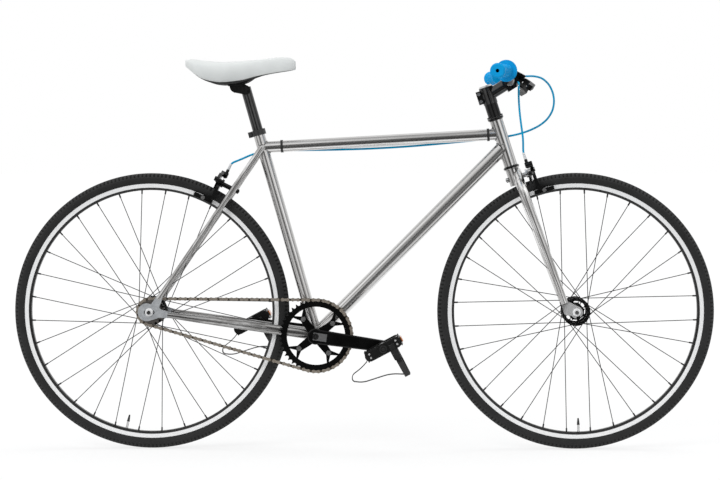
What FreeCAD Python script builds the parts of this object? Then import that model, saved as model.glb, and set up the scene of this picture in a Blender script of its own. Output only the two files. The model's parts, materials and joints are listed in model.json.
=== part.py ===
import FreeCAD
import Part
import Sketcher
import math
import operator
import os
from types import SimpleNamespace

# A fixed gear bicycle: a steel frame of mitred tubes, a threadless fork, laced wheels, a one-speed chain drive,
# dual-pivot rim brakes, a low riser bar and pedals with toe clips.
# Millimetres. +X is forward, +Y the rider's left, +Z up; the origin is on the ground, midway between the axles.

SIZES = {
    # fits shared by every piece
    "clearance": 0.4,
    "running_fit": 0.05,
    "overrun": 3,
    # wheels
    "wheelbase": 1054,
    "bead_seat_diameter": 622,
    "tyre_width": 32,
    "tyre_height": 32,
    "tyre_casing": 2.2,
    "tyre_tread": 4,
    "rim_width": 24,
    "rim_flange": 6,
    "rim_depth": 16,
    "rim_wall": 1.6,
    "rim_floor": 2.6,
    "rim_base_width": 14,
    "brake_track": 11.5,
    "tube_diameter": 21,
    "tube_wall": 1.2,
    "valve_diameter": 6,
    "valve_length": 34,
    "valve_cap_length": 17,
    "valve_cap_diameter": 7.4,
    "front_valve_angle": -88.4,
    "rear_valve_angle": -102.4,
    "spokes_a_wheel": 32,
    "spoke_crossings": 3,
    "spoke_diameter": 2,
    "spoke_head": 3.8,
    "spoke_stagger": 2,
    "nipple_diameter": 4,
    "nipple_length": 12,
    "nipple_head": 5.6,
    "flange_diameter": 70,
    "flange_holes": 62,
    "flange_thickness": 3.2,
    "flange_spacing": 66,
    "flange_slots": 8,
    "flange_slot_width": 7,
    "flange_slot_circle": 46,
    "hub_barrel": 30,
    "hub_end": 26,
    "bearing_diameter": 22,
    "bearing_width": 7,
    "front_hub_width": 100,
    "rear_hub_width": 120,
    "front_axle_diameter": 9,
    "rear_axle_diameter": 10,
    "axle_stub": 6,
    "axle_nut_width": 15,
    "axle_nut_height": 9,
    "axle_washer": 20,
    "axle_washer_height": 2.4,
    "locknut_diameter": 17,
    # drive
    "chain_pitch": 12.7,
    "chain_links": 96,
    "chainring_teeth": 44,
    "cog_teeth": 16,
    "chain_line": 42,
    "roller_diameter": 7.75,
    "roller_width": 3.5,
    "link_plate": 1.1,
    "link_plate_height": 8.6,
    "link_waist": 5.8,
    "pin_diameter": 3.6,
    "tooth_height": 3,
    "tooth_thickness": 2.9,
    "cog_bore": 34,
    "cog_neck": 46,
    "lockring_diameter": 40,
    "lockring_height": 4,
    "bolt_circle": 104,
    "ring_bolt": 8,
    "ring_bolt_head": 12,
    "ring_bolt_height": 2,
    "ring_band_diameter": 144,
    "ring_tab": 16,
    "ring_window_share": 0.62,
    "spider_arm": 24,
    "spider_thickness": 5.5,
    "crank_length": 170,
    "crank_root": 36,
    "crank_end": 29,
    "crank_thickness": 13,
    "crank_offset": 58,
    "crank_chamfer": 3,
    "crank_boss": 40,
    "spindle_diameter": 17,
    "spindle_square": 12,
    "crank_bolt": 15,
    "crank_bolt_recess": 5,
    "shell_diameter": 40,
    "shell_width": 68,
    "shell_wall": 3,
    "cup_flange": 38,
    "cup_flange_height": 3,
    # pedals
    "pedal_length": 98,
    "pedal_width": 74,
    "pedal_height": 27,
    "pedal_gap": 9,
    "pedal_plate": 5,
    "pedal_barrel": 25,
    "pedal_cap": 21,
    "pedal_cage": 2.5,
    "pedal_cage_height": 21,
    "pedal_tooth": 3.2,
    "pedal_teeth": 7,
    "pedal_angle": 208,
    "pedal_thread": 14,
    "pedal_spindle": 9,
    "reflector_width": 44,
    "reflector_height": 13,
    "reflector_thickness": 5,
    "clip_width": 14,
    "clip_thickness": 2,
    "clip_reach": 58,
    "clip_rise": 82,
    "strap_width": 14,
    "strap_thickness": 2.2,
    "strap_rise": 84,
    "strap_setback": 22,
    "buckle_length": 24,
    "buckle_thickness": 5,
    # frame
    "bottom_bracket_drop": 59.3,
    "seat_angle": 74,
    "seat_tube_length": 527.2,
    "seat_tube_diameter": 28.6,
    "top_tube_diameter": 28,
    "top_tube_drop": 42,
    "top_tube_head_drop": 36,
    "down_tube_diameter": 34.9,
    "down_tube_head_drop": 67,
    "tube_thickness": 1.2,
    "head_angle": 72,
    "head_tube_length": 118,
    "head_tube_diameter": 33,
    "head_tube_wall": 2.2,
    "lower_stack": 10,
    "upper_stack": 12,
    "headset_diameter": 40,
    "headset_skirt": 12,
    "dropout_thickness": 6,
    "dropout_end": 22,
    "dropout_slot": 26,
    "dropout_tang": 7,
    "chainstay_tang": 52,
    "seatstay_tang": 46,
    "chainstay_height": 24,
    "chainstay_width": 15,
    "chainstay_end": 14,
    "chainstay_spread": 28,
    "chainstay_bend": 100,
    "chainstay_dimple": 3,
    "seatstay_end": 13,
    "seatstay_top": 16,
    "bridge_diameter": 14,
    "chainstay_bridge": 52,
    "seat_slot": 2.4,
    "seat_slot_length": 32,
    "seat_clamp_height": 14,
    "seat_clamp_wall": 4,
    "seat_clamp_ear": 12,
    "seat_clamp_bolt": 5,
    # seat
    "seatpost_diameter": 26,
    "seatpost_wall": 2.4,
    "seatpost_insertion": 130,
    "seatpost_rise": 112,
    "clamp_setback": 21.6,
    "clamp_rise": 120.7,
    "clamp_barrel": 30,
    "clamp_length": 36,
    "clamp_plate": 7,
    "clamp_bolt": 7,
    "rail_lift": 8,
    "rail_diameter": 7,
    "rail_spacing": 44,
    "saddle_length": 269,
    "saddle_width": 152,
    "saddle_height": 67,
    "saddle_setback": 122.4,
    "saddle_base": 4,
    # fork
    "fork_length": 383,
    "fork_rake": 41,
    "steerer_diameter": 25.4,
    "steerer_wall": 2.2,
    "crown_diameter": 33,
    "crown_depth": 40,
    "blade_top": 25,
    "blade_tip": 17,
    "blade_wall": 1.4,
    "blade_spread": 42,
    "blade_shoulder": 50,
    "blade_lead": 8,
    "blade_lean": 12,
    "blade_bend": 60,
    "blade_gap": 30,
    "fork_end_thickness": 6,
    "fork_end_radius": 15,
    # cockpit
    "spacer_diameter": 33,
    "spacer_height": 31,
    "spacer_count": 3,
    "stem_height": 43,
    "stem_length": 61,
    "stem_rise": 14,
    "stem_wall": 5,
    "stem_neck": 29,
    "stem_clamp_width": 46,
    "stem_split": 2.4,
    "stem_bolt": 5,
    "stem_bolt_head": 8.6,
    "top_cap_height": 4,
    "bar_width": 580,
    "bar_diameter": 22.2,
    "bar_clamp_diameter": 25.4,
    "bar_wall": 2,
    "bar_middle": 84,
    "bar_riser": 60,
    "bar_rise": 25,
    "bar_sweep": 11.2,
    "bar_droop": 1.8,
    "bar_bend": 45,
    "grip_length": 132,
    "grip_diameter": 32,
    "grip_flange": 53,
    "grip_flange_height": 4,
    "grip_end": 36.5,
    "grip_end_length": 9,
    "grip_hole": 9,
    "grip_rib": 1,
    "grip_ribs": 16,
    # brakes
    "lever_reach": 78,
    "lever_length": 112,
    "lever_width": 14,
    "lever_thickness": 13,
    "lever_pitch": 30,
    "perch_width": 18,
    "perch_wall": 4.5,
    "perch_setback": 24,
    "perch_height": 20,
    "pivot_reach": 34,
    "pivot_inset": 16,
    "pivot_diameter": 6,
    "barrel_diameter": 8,
    "barrel_length": 18,
    "caliper_reach": 50,
    "caliper_offset": 42,
    "caliper_arm": 8,
    "caliper_lead": 17,
    "caliper_cable": 44,
    "caliper_bolt": 6,
    "caliper_nut": 12,
    "shoe_length": 50,
    "shoe_height": 9,
    "shoe_thickness": 7,
    "shoe_holder": 3,
    "shoe_gap": 2,
    "shoe_boss": 10,
    "shoe_stud": 5,
    "shoe_nut": 8,
    "rear_bolt_angle": 154,
    "housing_diameter": 5,
    "wire_diameter": 1.6,
    "housing_loop": 100,
    "band_width": 6,
    "band_thickness": 1.6,
    "front_band": 31,
    "rear_band": 48,
}


class Size:
    """A number that carries the sheet formula it was worked out with."""

    def __init__(self, value, formula):
        self.value = float(value)
        self.formula = formula

    def __float__(self):
        return self.value

    def __neg__(self):
        return Size(-self.value, f"(-{self.formula})")

    def __add__(self, other):
        return combined(self, "+", other)

    def __radd__(self, other):
        return combined(other, "+", self)

    def __sub__(self, other):
        return combined(self, "-", other)

    def __rsub__(self, other):
        return combined(other, "-", self)

    def __mul__(self, other):
        return combined(self, "*", other)

    def __rmul__(self, other):
        return combined(other, "*", self)

    def __truediv__(self, other):
        return combined(self, "/", other)

    def __rtruediv__(self, other):
        return combined(other, "/", self)


OPERATIONS = {"+": operator.add, "-": operator.sub, "*": operator.mul, "/": operator.truediv}


def formula_of(size):
    return size.formula if isinstance(size, Size) else f"({float(size):.9f})"


def combined(left, sign, right):
    value = OPERATIONS[sign](float(left), float(right))
    return Size(value, f"({formula_of(left)} {sign} {formula_of(right)})")


doc = FreeCAD.newDocument("fixed_gear_bike")
sheet = doc.addObject("Spreadsheet::Sheet", "Sizes")
for row, (name, number) in enumerate(SIZES.items(), 1):
    sheet.set(f"A{row}", name)
    sheet.set(f"B{row}", str(number))
    sheet.setAlias(f"B{row}", name)
doc.recompute()
size = SimpleNamespace(**{name: Size(sheet.get(name), f"Sizes.{name}") for name in SIZES})

Vector = FreeCAD.Vector
FORWARD = Vector(1, 0, 0)
LEFT = Vector(0, 1, 0)
RIGHT = Vector(0, -1, 0)
UP = Vector(0, 0, 1)
SIDES = {"right": RIGHT, "left": LEFT}
PIECES = []


# Placing and collecting pieces


def piece(label, obj):
    """Registers an object as the sub-part that is written under this label."""
    obj.Label = label
    PIECES.append(obj)
    return obj


def group(label, objects):
    """Several separate solids that make one sub-part."""
    compound = doc.addObject("Part::Compound", label)
    compound.Links = objects
    return piece(label, compound)


def axes(origin, x_axis, z_axis):
    return FreeCAD.Placement(origin, FreeCAD.Rotation(x_axis, Vector(), z_axis, "ZXY"))


def along(origin, z_axis):
    return FreeCAD.Placement(origin, FreeCAD.Rotation(UP, z_axis))


def in_plane(angle):
    """A direction in the bicycle's centre plane, in degrees from forward towards up."""
    turn = math.radians(float(angle))
    return Vector(math.cos(turn), 0, math.sin(turn))


def set_size(obj, name, value):
    if isinstance(value, Size):
        obj.setExpression(name, value.formula)
    else:
        setattr(obj, name, value)


# Solids from primitives


def cylinder(label, diameter, length, placement):
    solid = doc.addObject("Part::Cylinder", label)
    set_size(solid, "Radius", diameter / 2)
    set_size(solid, "Height", length)
    solid.Placement = placement
    return solid


def cone(label, start, end, length, placement):
    solid = doc.addObject("Part::Cone", label)
    set_size(solid, "Radius1", start / 2)
    set_size(solid, "Radius2", end / 2)
    set_size(solid, "Height", length)
    solid.Placement = placement
    return solid


def box(label, length, width, height, placement):
    """A box centred on its placement's origin in length and width, and rising from it."""
    solid = doc.addObject("Part::Box", label)
    set_size(solid, "Length", length)
    set_size(solid, "Width", width)
    set_size(solid, "Height", height)
    corner = Vector(-float(length) / 2, -float(width) / 2, 0)
    solid.Placement = placement.multiply(FreeCAD.Placement(corner, FreeCAD.Rotation()))
    return solid


def hexagon(label, flats, height, placement):
    solid = doc.addObject("Part::Prism", label)
    solid.Polygon = 6
    set_size(solid, "Circumradius", flats / math.sqrt(3))
    set_size(solid, "Height", height)
    solid.Placement = placement
    return solid


def fuse(label, *shapes):
    result = doc.addObject("Part::MultiFuse", label)
    result.Shapes = list(shapes)
    result.Refine = True
    return result


def cut(label, base, *tools):
    """The base less each of the tools in turn."""
    for tool in tools:
        result = doc.addObject("Part::Cut", label if tool is tools[-1] else f"{label}_step")
        result.Base = base
        result.Tool = tool
        base = result
    return base


def ring(label, outer, inner, length, placement):
    """A plain ring or bush on its placement's Z axis."""
    return cut(label, cylinder(f"{label}_outer", outer, length, placement),
               cylinder(f"{label}_bore", inner, length, placement))


def shape(label, solid):
    feature = doc.addObject("Part::Feature", label)
    feature.Shape = solid
    return feature


# Bodies, sketches and features


def new_body(label, placement):
    body = doc.addObject("PartDesign::Body", label)
    body.Label = label
    body.Placement = placement
    return body


def sketch_on(body, role="XY_Plane", lift=0, turn=0):
    """A sketch on one of the body's own planes, lifted along its normal and turned about it."""
    sketch = body.newObject("Sketcher::SketchObject", f"{body.Name}_sketch")
    plane = next(feature for feature in body.Origin.OriginFeatures if feature.Role == role)
    sketch.AttachmentSupport = [(plane, "")]
    sketch.MapMode = "FlatFace"
    sketch.AttachmentOffset = FreeCAD.Placement(Vector(0, 0, float(lift)), FreeCAD.Rotation(UP, float(turn)))
    if isinstance(lift, Size):
        sketch.setExpression("AttachmentOffset.Base.z", lift.formula)
    return sketch


def dimension(sketch, kind, value, *where):
    index = sketch.addConstraint(Sketcher.Constraint(kind, *where, float(value)))
    if isinstance(value, Size):
        sketch.setExpression(f"Constraints[{index}]", value.formula)


def pin_point(sketch, geometry, position, x, y):
    dimension(sketch, "DistanceX", x, geometry, position)
    dimension(sketch, "DistanceY", y, geometry, position)


def flat(x, y):
    return Vector(float(x), float(y), 0)


def outline(sketch, points):
    """A closed outline: a line runs to each (x, y), and an arc to each (x, y, via_x, via_y)."""
    runs = []
    for before, point in zip(points[-1:] + points[:-1], points):
        start = flat(*before[:2])
        end = flat(*point[:2])
        if len(point) == 2:
            runs.append((sketch.addGeometry(Part.LineSegment(start, end), False), 1, 2))
            continue
        via = flat(*point[2:])
        if (via - start).cross(end - via).z > 0:
            runs.append((sketch.addGeometry(Part.Arc(start, via, end), False), 1, 2))
        else:
            runs.append((sketch.addGeometry(Part.Arc(end, via, start), False), 2, 1))
    for (run, _, tail), (after, head, _), point in zip(runs, runs[1:] + runs[:1], points):
        sketch.addConstraint(Sketcher.Constraint("Coincident", run, tail, after, head))
        pin_point(sketch, run, tail, *point[:2])
        if len(point) == 4:
            mark = sketch.addGeometry(Part.Point(flat(*point[2:])), True)
            pin_point(sketch, mark, 1, *point[2:])
            sketch.addConstraint(Sketcher.Constraint("PointOnObject", mark, 1, run))


def circle(sketch, x, y, diameter):
    geometry = sketch.addGeometry(Part.Circle(flat(x, y), UP, float(diameter) / 2), False)
    pin_point(sketch, geometry, 3, x, y)
    dimension(sketch, "Diameter", diameter, geometry)


def capsule(sketch, start, end):
    """The outline round two circles (x, y, diameter), joined by their outer tangents."""
    (foot, foot_radius), (tip, tip_radius) = [(flat(x, y), float(d) / 2) for x, y, d in (start, end)]
    span = tip - foot
    heading = math.atan2(span.y, span.x)
    spread = math.acos((foot_radius - tip_radius) / span.Length)

    def rim(centre, radius, angle):
        return centre + Vector(math.cos(angle), math.sin(angle), 0) * radius

    back = sketch.addGeometry(Part.ArcOfCircle(
        Part.Circle(foot, UP, foot_radius), heading + spread, heading - spread + 2 * math.pi), False)
    front = sketch.addGeometry(Part.ArcOfCircle(
        Part.Circle(tip, UP, tip_radius), heading - spread, heading + spread), False)
    upper, lower = [sketch.addGeometry(Part.LineSegment(
        rim(foot, foot_radius, angle), rim(tip, tip_radius, angle)), False)
        for angle in (heading + spread, heading - spread)]
    for first, second in (((back, 1), (upper, 1)), ((upper, 2), (front, 2)),
                          ((front, 1), (lower, 2)), ((lower, 1), (back, 2))):
        sketch.addConstraint(Sketcher.Constraint("Tangent", *first, *second))
    for arc, (x, y, diameter) in ((back, start), (front, end)):
        pin_point(sketch, arc, 3, x, y)
        dimension(sketch, "Radius", diameter / 2, arc)


def pad(body, sketch, length, symmetric=False):
    feature = body.newObject("PartDesign::Pad", f"{body.Name}_pad")
    feature.Profile = sketch
    feature.SideType = "Symmetric" if symmetric else "One side"
    set_size(feature, "Length", length)
    return feature


def pocket(body, sketch, length=None):
    """A cut below its sketch, or right through the body both ways where no length is given."""
    feature = body.newObject("PartDesign::Pocket", f"{body.Name}_pocket")
    feature.Profile = sketch
    if length is None:
        feature.SideType = "Symmetric"
        feature.Type = "ThroughAll"
    else:
        set_size(feature, "Length", length)
    return feature


def turned(body, sketch):
    """A full turn of the sketch about its own vertical axis."""
    feature = body.newObject("PartDesign::Revolution", f"{body.Name}_turn")
    feature.Profile = sketch
    feature.ReferenceAxis = (sketch, ["V_Axis"])
    return feature


def repeated(body, feature, count):
    """A polar pattern of a feature about the normal through its sketch's origin."""
    pattern = body.newObject("PartDesign::PolarPattern", f"{body.Name}_pattern")
    pattern.Originals = [feature]
    pattern.Axis = (feature.Profile[0], ["N_Axis"])
    pattern.Angle = 360
    set_size(pattern, "Occurrences", count)
    body.Tip = pattern
    return pattern


def chamfered(body, feature, height, width):
    """A chamfer along every edge of the feature that lies flat at this height."""
    doc.recompute()
    names = [f"Edge{index}" for index, edge in enumerate(feature.Shape.Edges, 1)
             if abs(edge.BoundBox.ZMin - float(height)) + abs(edge.BoundBox.ZMax - float(height)) < 1e-4]
    bevel = body.newObject("PartDesign::Chamfer", f"{body.Name}_chamfer")
    bevel.Base = (feature, names)
    set_size(bevel, "Size", width)
    return bevel


# Swept tubes


def rounded_path(points, radii):
    """Straight runs through the points, joined by a tangent arc of the given radius at each inner point."""
    edges = []
    start = points[0]
    for before, corner, after, radius in zip(points, points[1:], points[2:], radii):
        arriving = (corner - before).normalize()
        leaving = (after - corner).normalize()
        turn = arriving.getAngle(leaving)
        reach = radius * math.tan(turn / 2)
        bisector = (leaving - arriving).normalize()
        middle = corner + bisector * (radius / math.cos(turn / 2) - radius)
        edges.append(Part.LineSegment(start, corner - arriving * reach).toShape())
        edges.append(Part.Arc(corner - arriving * reach, middle, corner + leaving * reach).toShape())
        start = corner + leaving * reach
    edges.append(Part.LineSegment(start, points[-1]).toShape())
    return Part.Wire(edges)


def loose_radii(points, share=0.45):
    """For each inner point the largest arc that its two runs allow."""
    radii = []
    for before, corner, after in zip(points, points[1:], points[2:]):
        turn = (corner - before).getAngle(after - corner)
        radii.append(share * min((corner - before).Length, (after - corner).Length) / math.tan(turn / 2))
    return radii


def round_sweep(path, diameter):
    start = path.Edges[0]
    section = Part.Wire(Part.makeCircle(float(diameter) / 2, start.valueAt(start.FirstParameter),
                                        start.tangentAt(start.FirstParameter)))
    return path.makePipeShell([section], True, False)


# Main points of the bicycle, worked out from the driving sizes


def pitch_radius(teeth):
    return float(size.chain_pitch) / 2 / math.sin(math.pi / float(teeth))


def chain_layout():
    """The pins on the chainring and the cog, the links of each free run, and the centre distance they need."""
    ring_teeth = int(float(size.chainring_teeth))
    cog_teeth = int(float(size.cog_teeth))
    links = int(float(size.chain_links))
    ring_radius = pitch_radius(ring_teeth)
    cog_radius = pitch_radius(cog_teeth)
    lean = math.asin((ring_radius - cog_radius) / (links * float(size.chain_pitch) / 3))
    ring_pins = 2 * round((math.pi / 2 + lean) / (2 * math.pi / ring_teeth))
    cog_pins = 2 * round((math.pi / 2 - lean) / (2 * math.pi / cog_teeth) + 0.25)
    run = (links - ring_pins - cog_pins + 2) // 2
    ring_end = (ring_pins - 1) * math.pi / ring_teeth
    cog_end = (cog_pins - 1) * math.pi / cog_teeth
    rise = ring_radius * math.sin(ring_end) - cog_radius * math.sin(cog_end)
    level = math.sqrt((run * float(size.chain_pitch)) ** 2 - rise ** 2)
    centres = level - ring_radius * math.cos(ring_end) - cog_radius * math.cos(cog_end)
    return ring_pins, cog_pins, run, centres


RING_PINS, COG_PINS, FREE_LINKS, DRIVE_CENTRES = chain_layout()
WHEEL_RADIUS = size.bead_seat_diameter / 2 + size.tyre_height
TRACK_RADIUS = size.bead_seat_diameter / 2 + size.rim_flange - size.brake_track / 2

rear_axle = Vector(-size.wheelbase / 2, 0, WHEEL_RADIUS)
front_axle = Vector(size.wheelbase / 2, 0, WHEEL_RADIUS)
bracket = rear_axle + Vector(math.sqrt(DRIVE_CENTRES ** 2 - float(size.bottom_bracket_drop) ** 2), 0,
                             -size.bottom_bracket_drop)
drive_line = (bracket - rear_axle).normalize()

steer = in_plane(180 - size.head_angle)
ahead = in_plane(90 - size.head_angle)
crown = front_axle + steer * float(size.fork_length) - ahead * float(size.fork_rake)
head_foot = crown + steer * float(size.lower_stack)
head_tip = head_foot + steer * float(size.head_tube_length)
stem_foot = head_tip + steer * float(size.upper_stack + size.spacer_height)
stem_centre = stem_foot + steer * float(size.stem_height / 2)
stem_heading = in_plane(90 - size.head_angle + size.stem_rise)
bar_centre = stem_centre + stem_heading * float(size.stem_length)

seat_line = in_plane(180 - size.seat_angle)
seat_behind = in_plane(270 - size.seat_angle)
seat_tip = bracket + seat_line * float(size.seat_tube_length)
top_tube_rear = seat_tip - seat_line * float(size.top_tube_drop)
top_tube_front = head_tip - steer * float(size.top_tube_head_drop)
down_tube_front = head_tip - steer * float(size.down_tube_head_drop)
top_line = (top_tube_front - top_tube_rear).normalize()
down_line = (down_tube_front - bracket).normalize()


# Frame tubes, each a hollow cylinder cut to the tubes that it meets


def tube_blank(label, foot, tip, diameter):
    return cylinder(label, diameter, (tip - foot).Length, along(foot, tip - foot))


def tube_bore(label, foot, tip, diameter):
    past = (tip - foot).normalize() * float(size.overrun)
    return tube_blank(label, foot - past, tip + past, diameter)


def bottom_bracket_cups():
    """The bearing cups in the shell, bored to run on the spindle."""
    cups = []
    bore = size.spindle_diameter + 2 * size.running_fit
    thread = size.shell_diameter - 2 * size.shell_wall
    for side, outward in SIDES.items():
        body = new_body(f"{side}_cup", axes(bracket + outward * float(size.shell_width / 2), FORWARD, outward))
        section = sketch_on(body, "XZ_Plane")
        depth = size.shell_width / 4
        outline(section, [(bore / 2, -depth), (thread / 2, -depth), (thread / 2, 0), (size.cup_flange / 2, 0),
                          (size.cup_flange / 2, size.cup_flange_height), (bore / 2, size.cup_flange_height)])
        turned(body, section)
        cups.append(body)
    return cups


def main_tubes():
    """The head, seat, top and down tubes and the bottom bracket shell with its cups."""
    half_shell = float(size.shell_width) / 2
    shell_foot = bracket + RIGHT * half_shell
    shell_tip = bracket + LEFT * half_shell
    shell = tube_blank("shell_blank", shell_foot, shell_tip, size.shell_diameter)
    hollow_shell = cut("hollow_shell", shell, tube_bore(
        "shell_bore", shell_foot, shell_tip, size.shell_diameter - 2 * size.shell_wall))
    group("bottom_bracket_shell", [hollow_shell] + bottom_bracket_cups())
    head = tube_blank("head_blank", head_foot, head_tip, size.head_tube_diameter)
    piece("head_tube", cut("head_tube", head, tube_bore(
        "head_bore", head_foot, head_tip, size.head_tube_diameter - 2 * size.head_tube_wall)))
    seat = tube_blank("seat_blank", bracket, seat_tip, size.seat_tube_diameter)
    post_bore = tube_bore("seat_bore", bracket, seat_tip, size.seatpost_diameter + 2 * size.running_fit)
    slot_foot = seat_tip - seat_line * float(size.seat_slot_length) + seat_behind * float(size.seat_tube_diameter / 2)
    slot = box("seat_slot", size.seat_tube_diameter, size.seat_slot, size.seat_slot_length + size.overrun,
               axes(slot_foot, seat_behind, seat_line))
    piece("seat_tube", cut("seat_tube", seat, post_bore, shell, slot))
    top = tube_blank("top_blank", top_tube_rear, top_tube_front, size.top_tube_diameter)
    piece("top_tube", cut("top_tube", top, tube_bore(
        "top_bore", top_tube_rear, top_tube_front, size.top_tube_diameter - 2 * size.tube_thickness), seat, head))
    setback = float(size.head_tube_diameter / 4) / math.sin(down_line.getAngle(steer))
    down_tip = down_tube_front - down_line * setback
    down = tube_blank("down_blank", bracket, down_tip, size.down_tube_diameter)
    piece("down_tube", cut("down_tube", down, tube_bore(
        "down_bore", bracket, down_tip, size.down_tube_diameter - 2 * size.tube_thickness), shell, head, seat, top))
    return SimpleNamespace(shell=shell, head=head, seat=seat, top=top, down=down)


# Rear triangle




def rear_dropouts():
    """Two plates with a closed slot for the axle, and a tang for each stay."""
    plates = []
    stay_line = (top_tube_rear - rear_axle).normalize()
    for side, outward in SIDES.items():
        inner = size.rear_hub_width / 2
        body = new_body(f"{side}_dropout", axes(rear_axle + outward * float(inner), FORWARD, outward))
        up = -1 if side == "left" else 1
        for heading, length, width in ((drive_line, size.chainstay_tang, size.dropout_end * 1.2),
                                       (stay_line, size.seatstay_tang, size.dropout_end * 1.2)):
            tang = sketch_on(body)
            capsule(tang, (size.dropout_slot / 4, 0, width),
                    (length * heading.x, length * (heading.z * up), size.dropout_tang * 2))
            pad(body, tang, size.dropout_thickness)
        heel = sketch_on(body)
        capsule(heel, (-size.dropout_slot / 4, 0, size.dropout_end * 2),
                (size.dropout_slot / 2, 0, size.dropout_end * 1.5))
        pad(body, heel, size.dropout_thickness)
        slot = sketch_on(body)
        reach = (size.dropout_slot - size.rear_axle_diameter) / 2
        width = size.rear_axle_diameter + size.clearance
        capsule(slot, (-reach, 0, width), (reach, 0, width))
        pocket(body, slot)
        plates.append(body)
    group("rear_dropouts", plates)
    return plates


def chainstay_stations(outward):
    """Centre, direction, width and height of each section, from the bottom bracket to the dropout."""
    spread = float(size.chainstay_spread)
    plate = float(size.rear_hub_width / 2 + size.dropout_thickness / 2)
    reach = DRIVE_CENTRES - float(size.chainstay_tang) + float(size.dropout_tang)
    bend = float(size.chainstay_bend)
    near = bracket + outward * (spread - float(size.chainstay_width) / 4)
    middle = bracket - drive_line * bend + outward * spread
    far = bracket - drive_line * reach + outward * plate
    halfway = middle + (far - middle) / 3
    first = (middle - near).normalize()
    last = (far - middle).normalize()
    joint = (first + last).normalize()
    return ((near, first, size.chainstay_width * 1.1, size.chainstay_height * 1.05),
            (middle, joint, size.chainstay_width, size.chainstay_height),
            (halfway, last, size.chainstay_width * 1.05, size.chainstay_height * 0.92),
            (far, last, size.chainstay_end, size.chainstay_end * 1.02))


def oval_loft(label, stations, inset):
    sections = []
    for index, (centre, heading, width, height) in enumerate(stations):
        oval = doc.addObject("Part::Ellipse", f"{label}_oval_{index}")
        set_size(oval, "MajorRadius", height / 2 - inset)
        set_size(oval, "MinorRadius", width / 2 - inset)
        oval.Placement = axes(centre, UP, heading)
        sections.append(oval)
    loft = doc.addObject("Part::Loft", label)
    loft.Sections = sections
    loft.Solid = True
    return loft


def chainstays(tubes, plates):
    """Two hollow oval stays, slotted over the dropouts and dimpled on the drive side for the chainring."""
    stays = []
    blanks = []
    for (side, outward), plate in zip(SIDES.items(), plates):
        stations = chainstay_stations(outward)
        blank = oval_loft(f"{side}_chainstay_blank", stations, 0)
        hollow = oval_loft(f"{side}_chainstay_hollow", stations, size.tube_thickness)
        tools = [hollow, tubes.shell, tubes.seat, plate]
        if side == "right":
            middle, heading, width, _ = stations[1]
            face = middle + outward * float(width / 2 + size.chainstay_height / 4 - size.chainstay_dimple)
            start = face - heading * float(size.chainstay_height)
            tools.append(cylinder("chainstay_dimple", size.chainstay_height / 2, size.chainstay_height * 2,
                                  along(start, heading)))
        stays.append(cut(f"{side}_chainstay", blank, *tools))
        blanks.append(blank)
    group("chainstays", stays)
    return blanks


def seatstay_ends(outward):
    stay_line = (top_tube_rear - rear_axle).normalize()
    foot = rear_axle + stay_line * float(size.seatstay_tang - size.dropout_tang) \
        + outward * float(size.rear_hub_width / 2 + size.dropout_thickness / 2)
    tip = top_tube_rear + outward * float(size.seat_tube_diameter / 2 + size.seatstay_top / 4)
    return foot, tip


def seatstays(tubes, plates):
    """Two hollow tapered stays with rounded caps on the sides of the seat tube."""
    stays = []
    blanks = []
    for (side, outward), plate in zip(SIDES.items(), plates):
        foot, tip = seatstay_ends(outward)
        length = (tip - foot).Length
        top = size.seatstay_top / 2
        blank = new_body(f"{side}_seatstay_blank", axes(foot, LEFT, tip - foot))
        section = sketch_on(blank, "XZ_Plane")
        bulge = math.sqrt(0.5)
        outline(section, [(0, 0), (size.seatstay_end / 2, 0), (top, length),
                          (0, length + top, top * bulge, length + top * bulge)])
        turned(blank, section)
        hollow = cone(f"{side}_seatstay_hollow", size.seatstay_end - 2 * size.tube_thickness,
                      size.seatstay_top - 2 * size.tube_thickness, length - 2 * size.seatstay_top,
                      along(foot, tip - foot))
        stays.append(cut(f"{side}_seatstay", blank, hollow, tubes.seat, tubes.top, plate))
        blanks.append(blank)
    group("seatstays", stays)
    return blanks


def rear_caliper_frame():
    """The point on the seatstays' plane where the brake bridge lies, and the caliper's placement behind it."""
    back = in_plane(size.rear_bolt_angle)
    lift = in_plane(size.rear_bolt_angle - 90)
    stay_line = (top_tube_rear - rear_axle).normalize()
    shoe = back * float(size.caliper_offset + size.caliper_lead) - lift * float(size.caliper_reach)
    along_stay = stay_line.dot(shoe)
    reach = math.sqrt(along_stay ** 2 - shoe.dot(shoe) + float(TRACK_RADIUS) ** 2) - along_stay
    bridge = rear_axle + stay_line * reach
    return bridge, axes(bridge + back * float(size.caliper_offset), lift.cross(back), back)


def stay_bridges(chainstay_blanks, seatstay_blanks):
    """The brake bridge between the seatstays and a short tube between the chainstays."""
    bridge, _ = rear_caliper_frame()
    half = float(size.rear_hub_width / 2)
    back = in_plane(size.rear_bolt_angle)
    upper = cut("brake_bridge", tube_blank("brake_bridge_blank", bridge + RIGHT * half, bridge + LEFT * half,
                                           size.bridge_diameter),
                *seatstay_blanks, tube_bore("brake_bridge_hole", bridge - back * half, bridge + back * half,
                                            size.caliper_bolt))
    inner = float(size.chainstay_spread)
    middle = bracket - drive_line * float(size.chainstay_bridge)
    lower = cut("chainstay_tie", tube_blank("chainstay_tie_blank", middle + RIGHT * inner, middle + LEFT * inner,
                                            size.bridge_diameter), *chainstay_blanks)
    doc.recompute()
    solids = []
    for name, tie in (("upper_tie", upper), ("lower_tie", lower)):
        core = max(tie.Shape.Solids, key=lambda solid: -abs(solid.CenterOfMass.y))
        solids.append(shape(name, core))
    group("stay_bridges", solids)


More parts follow.
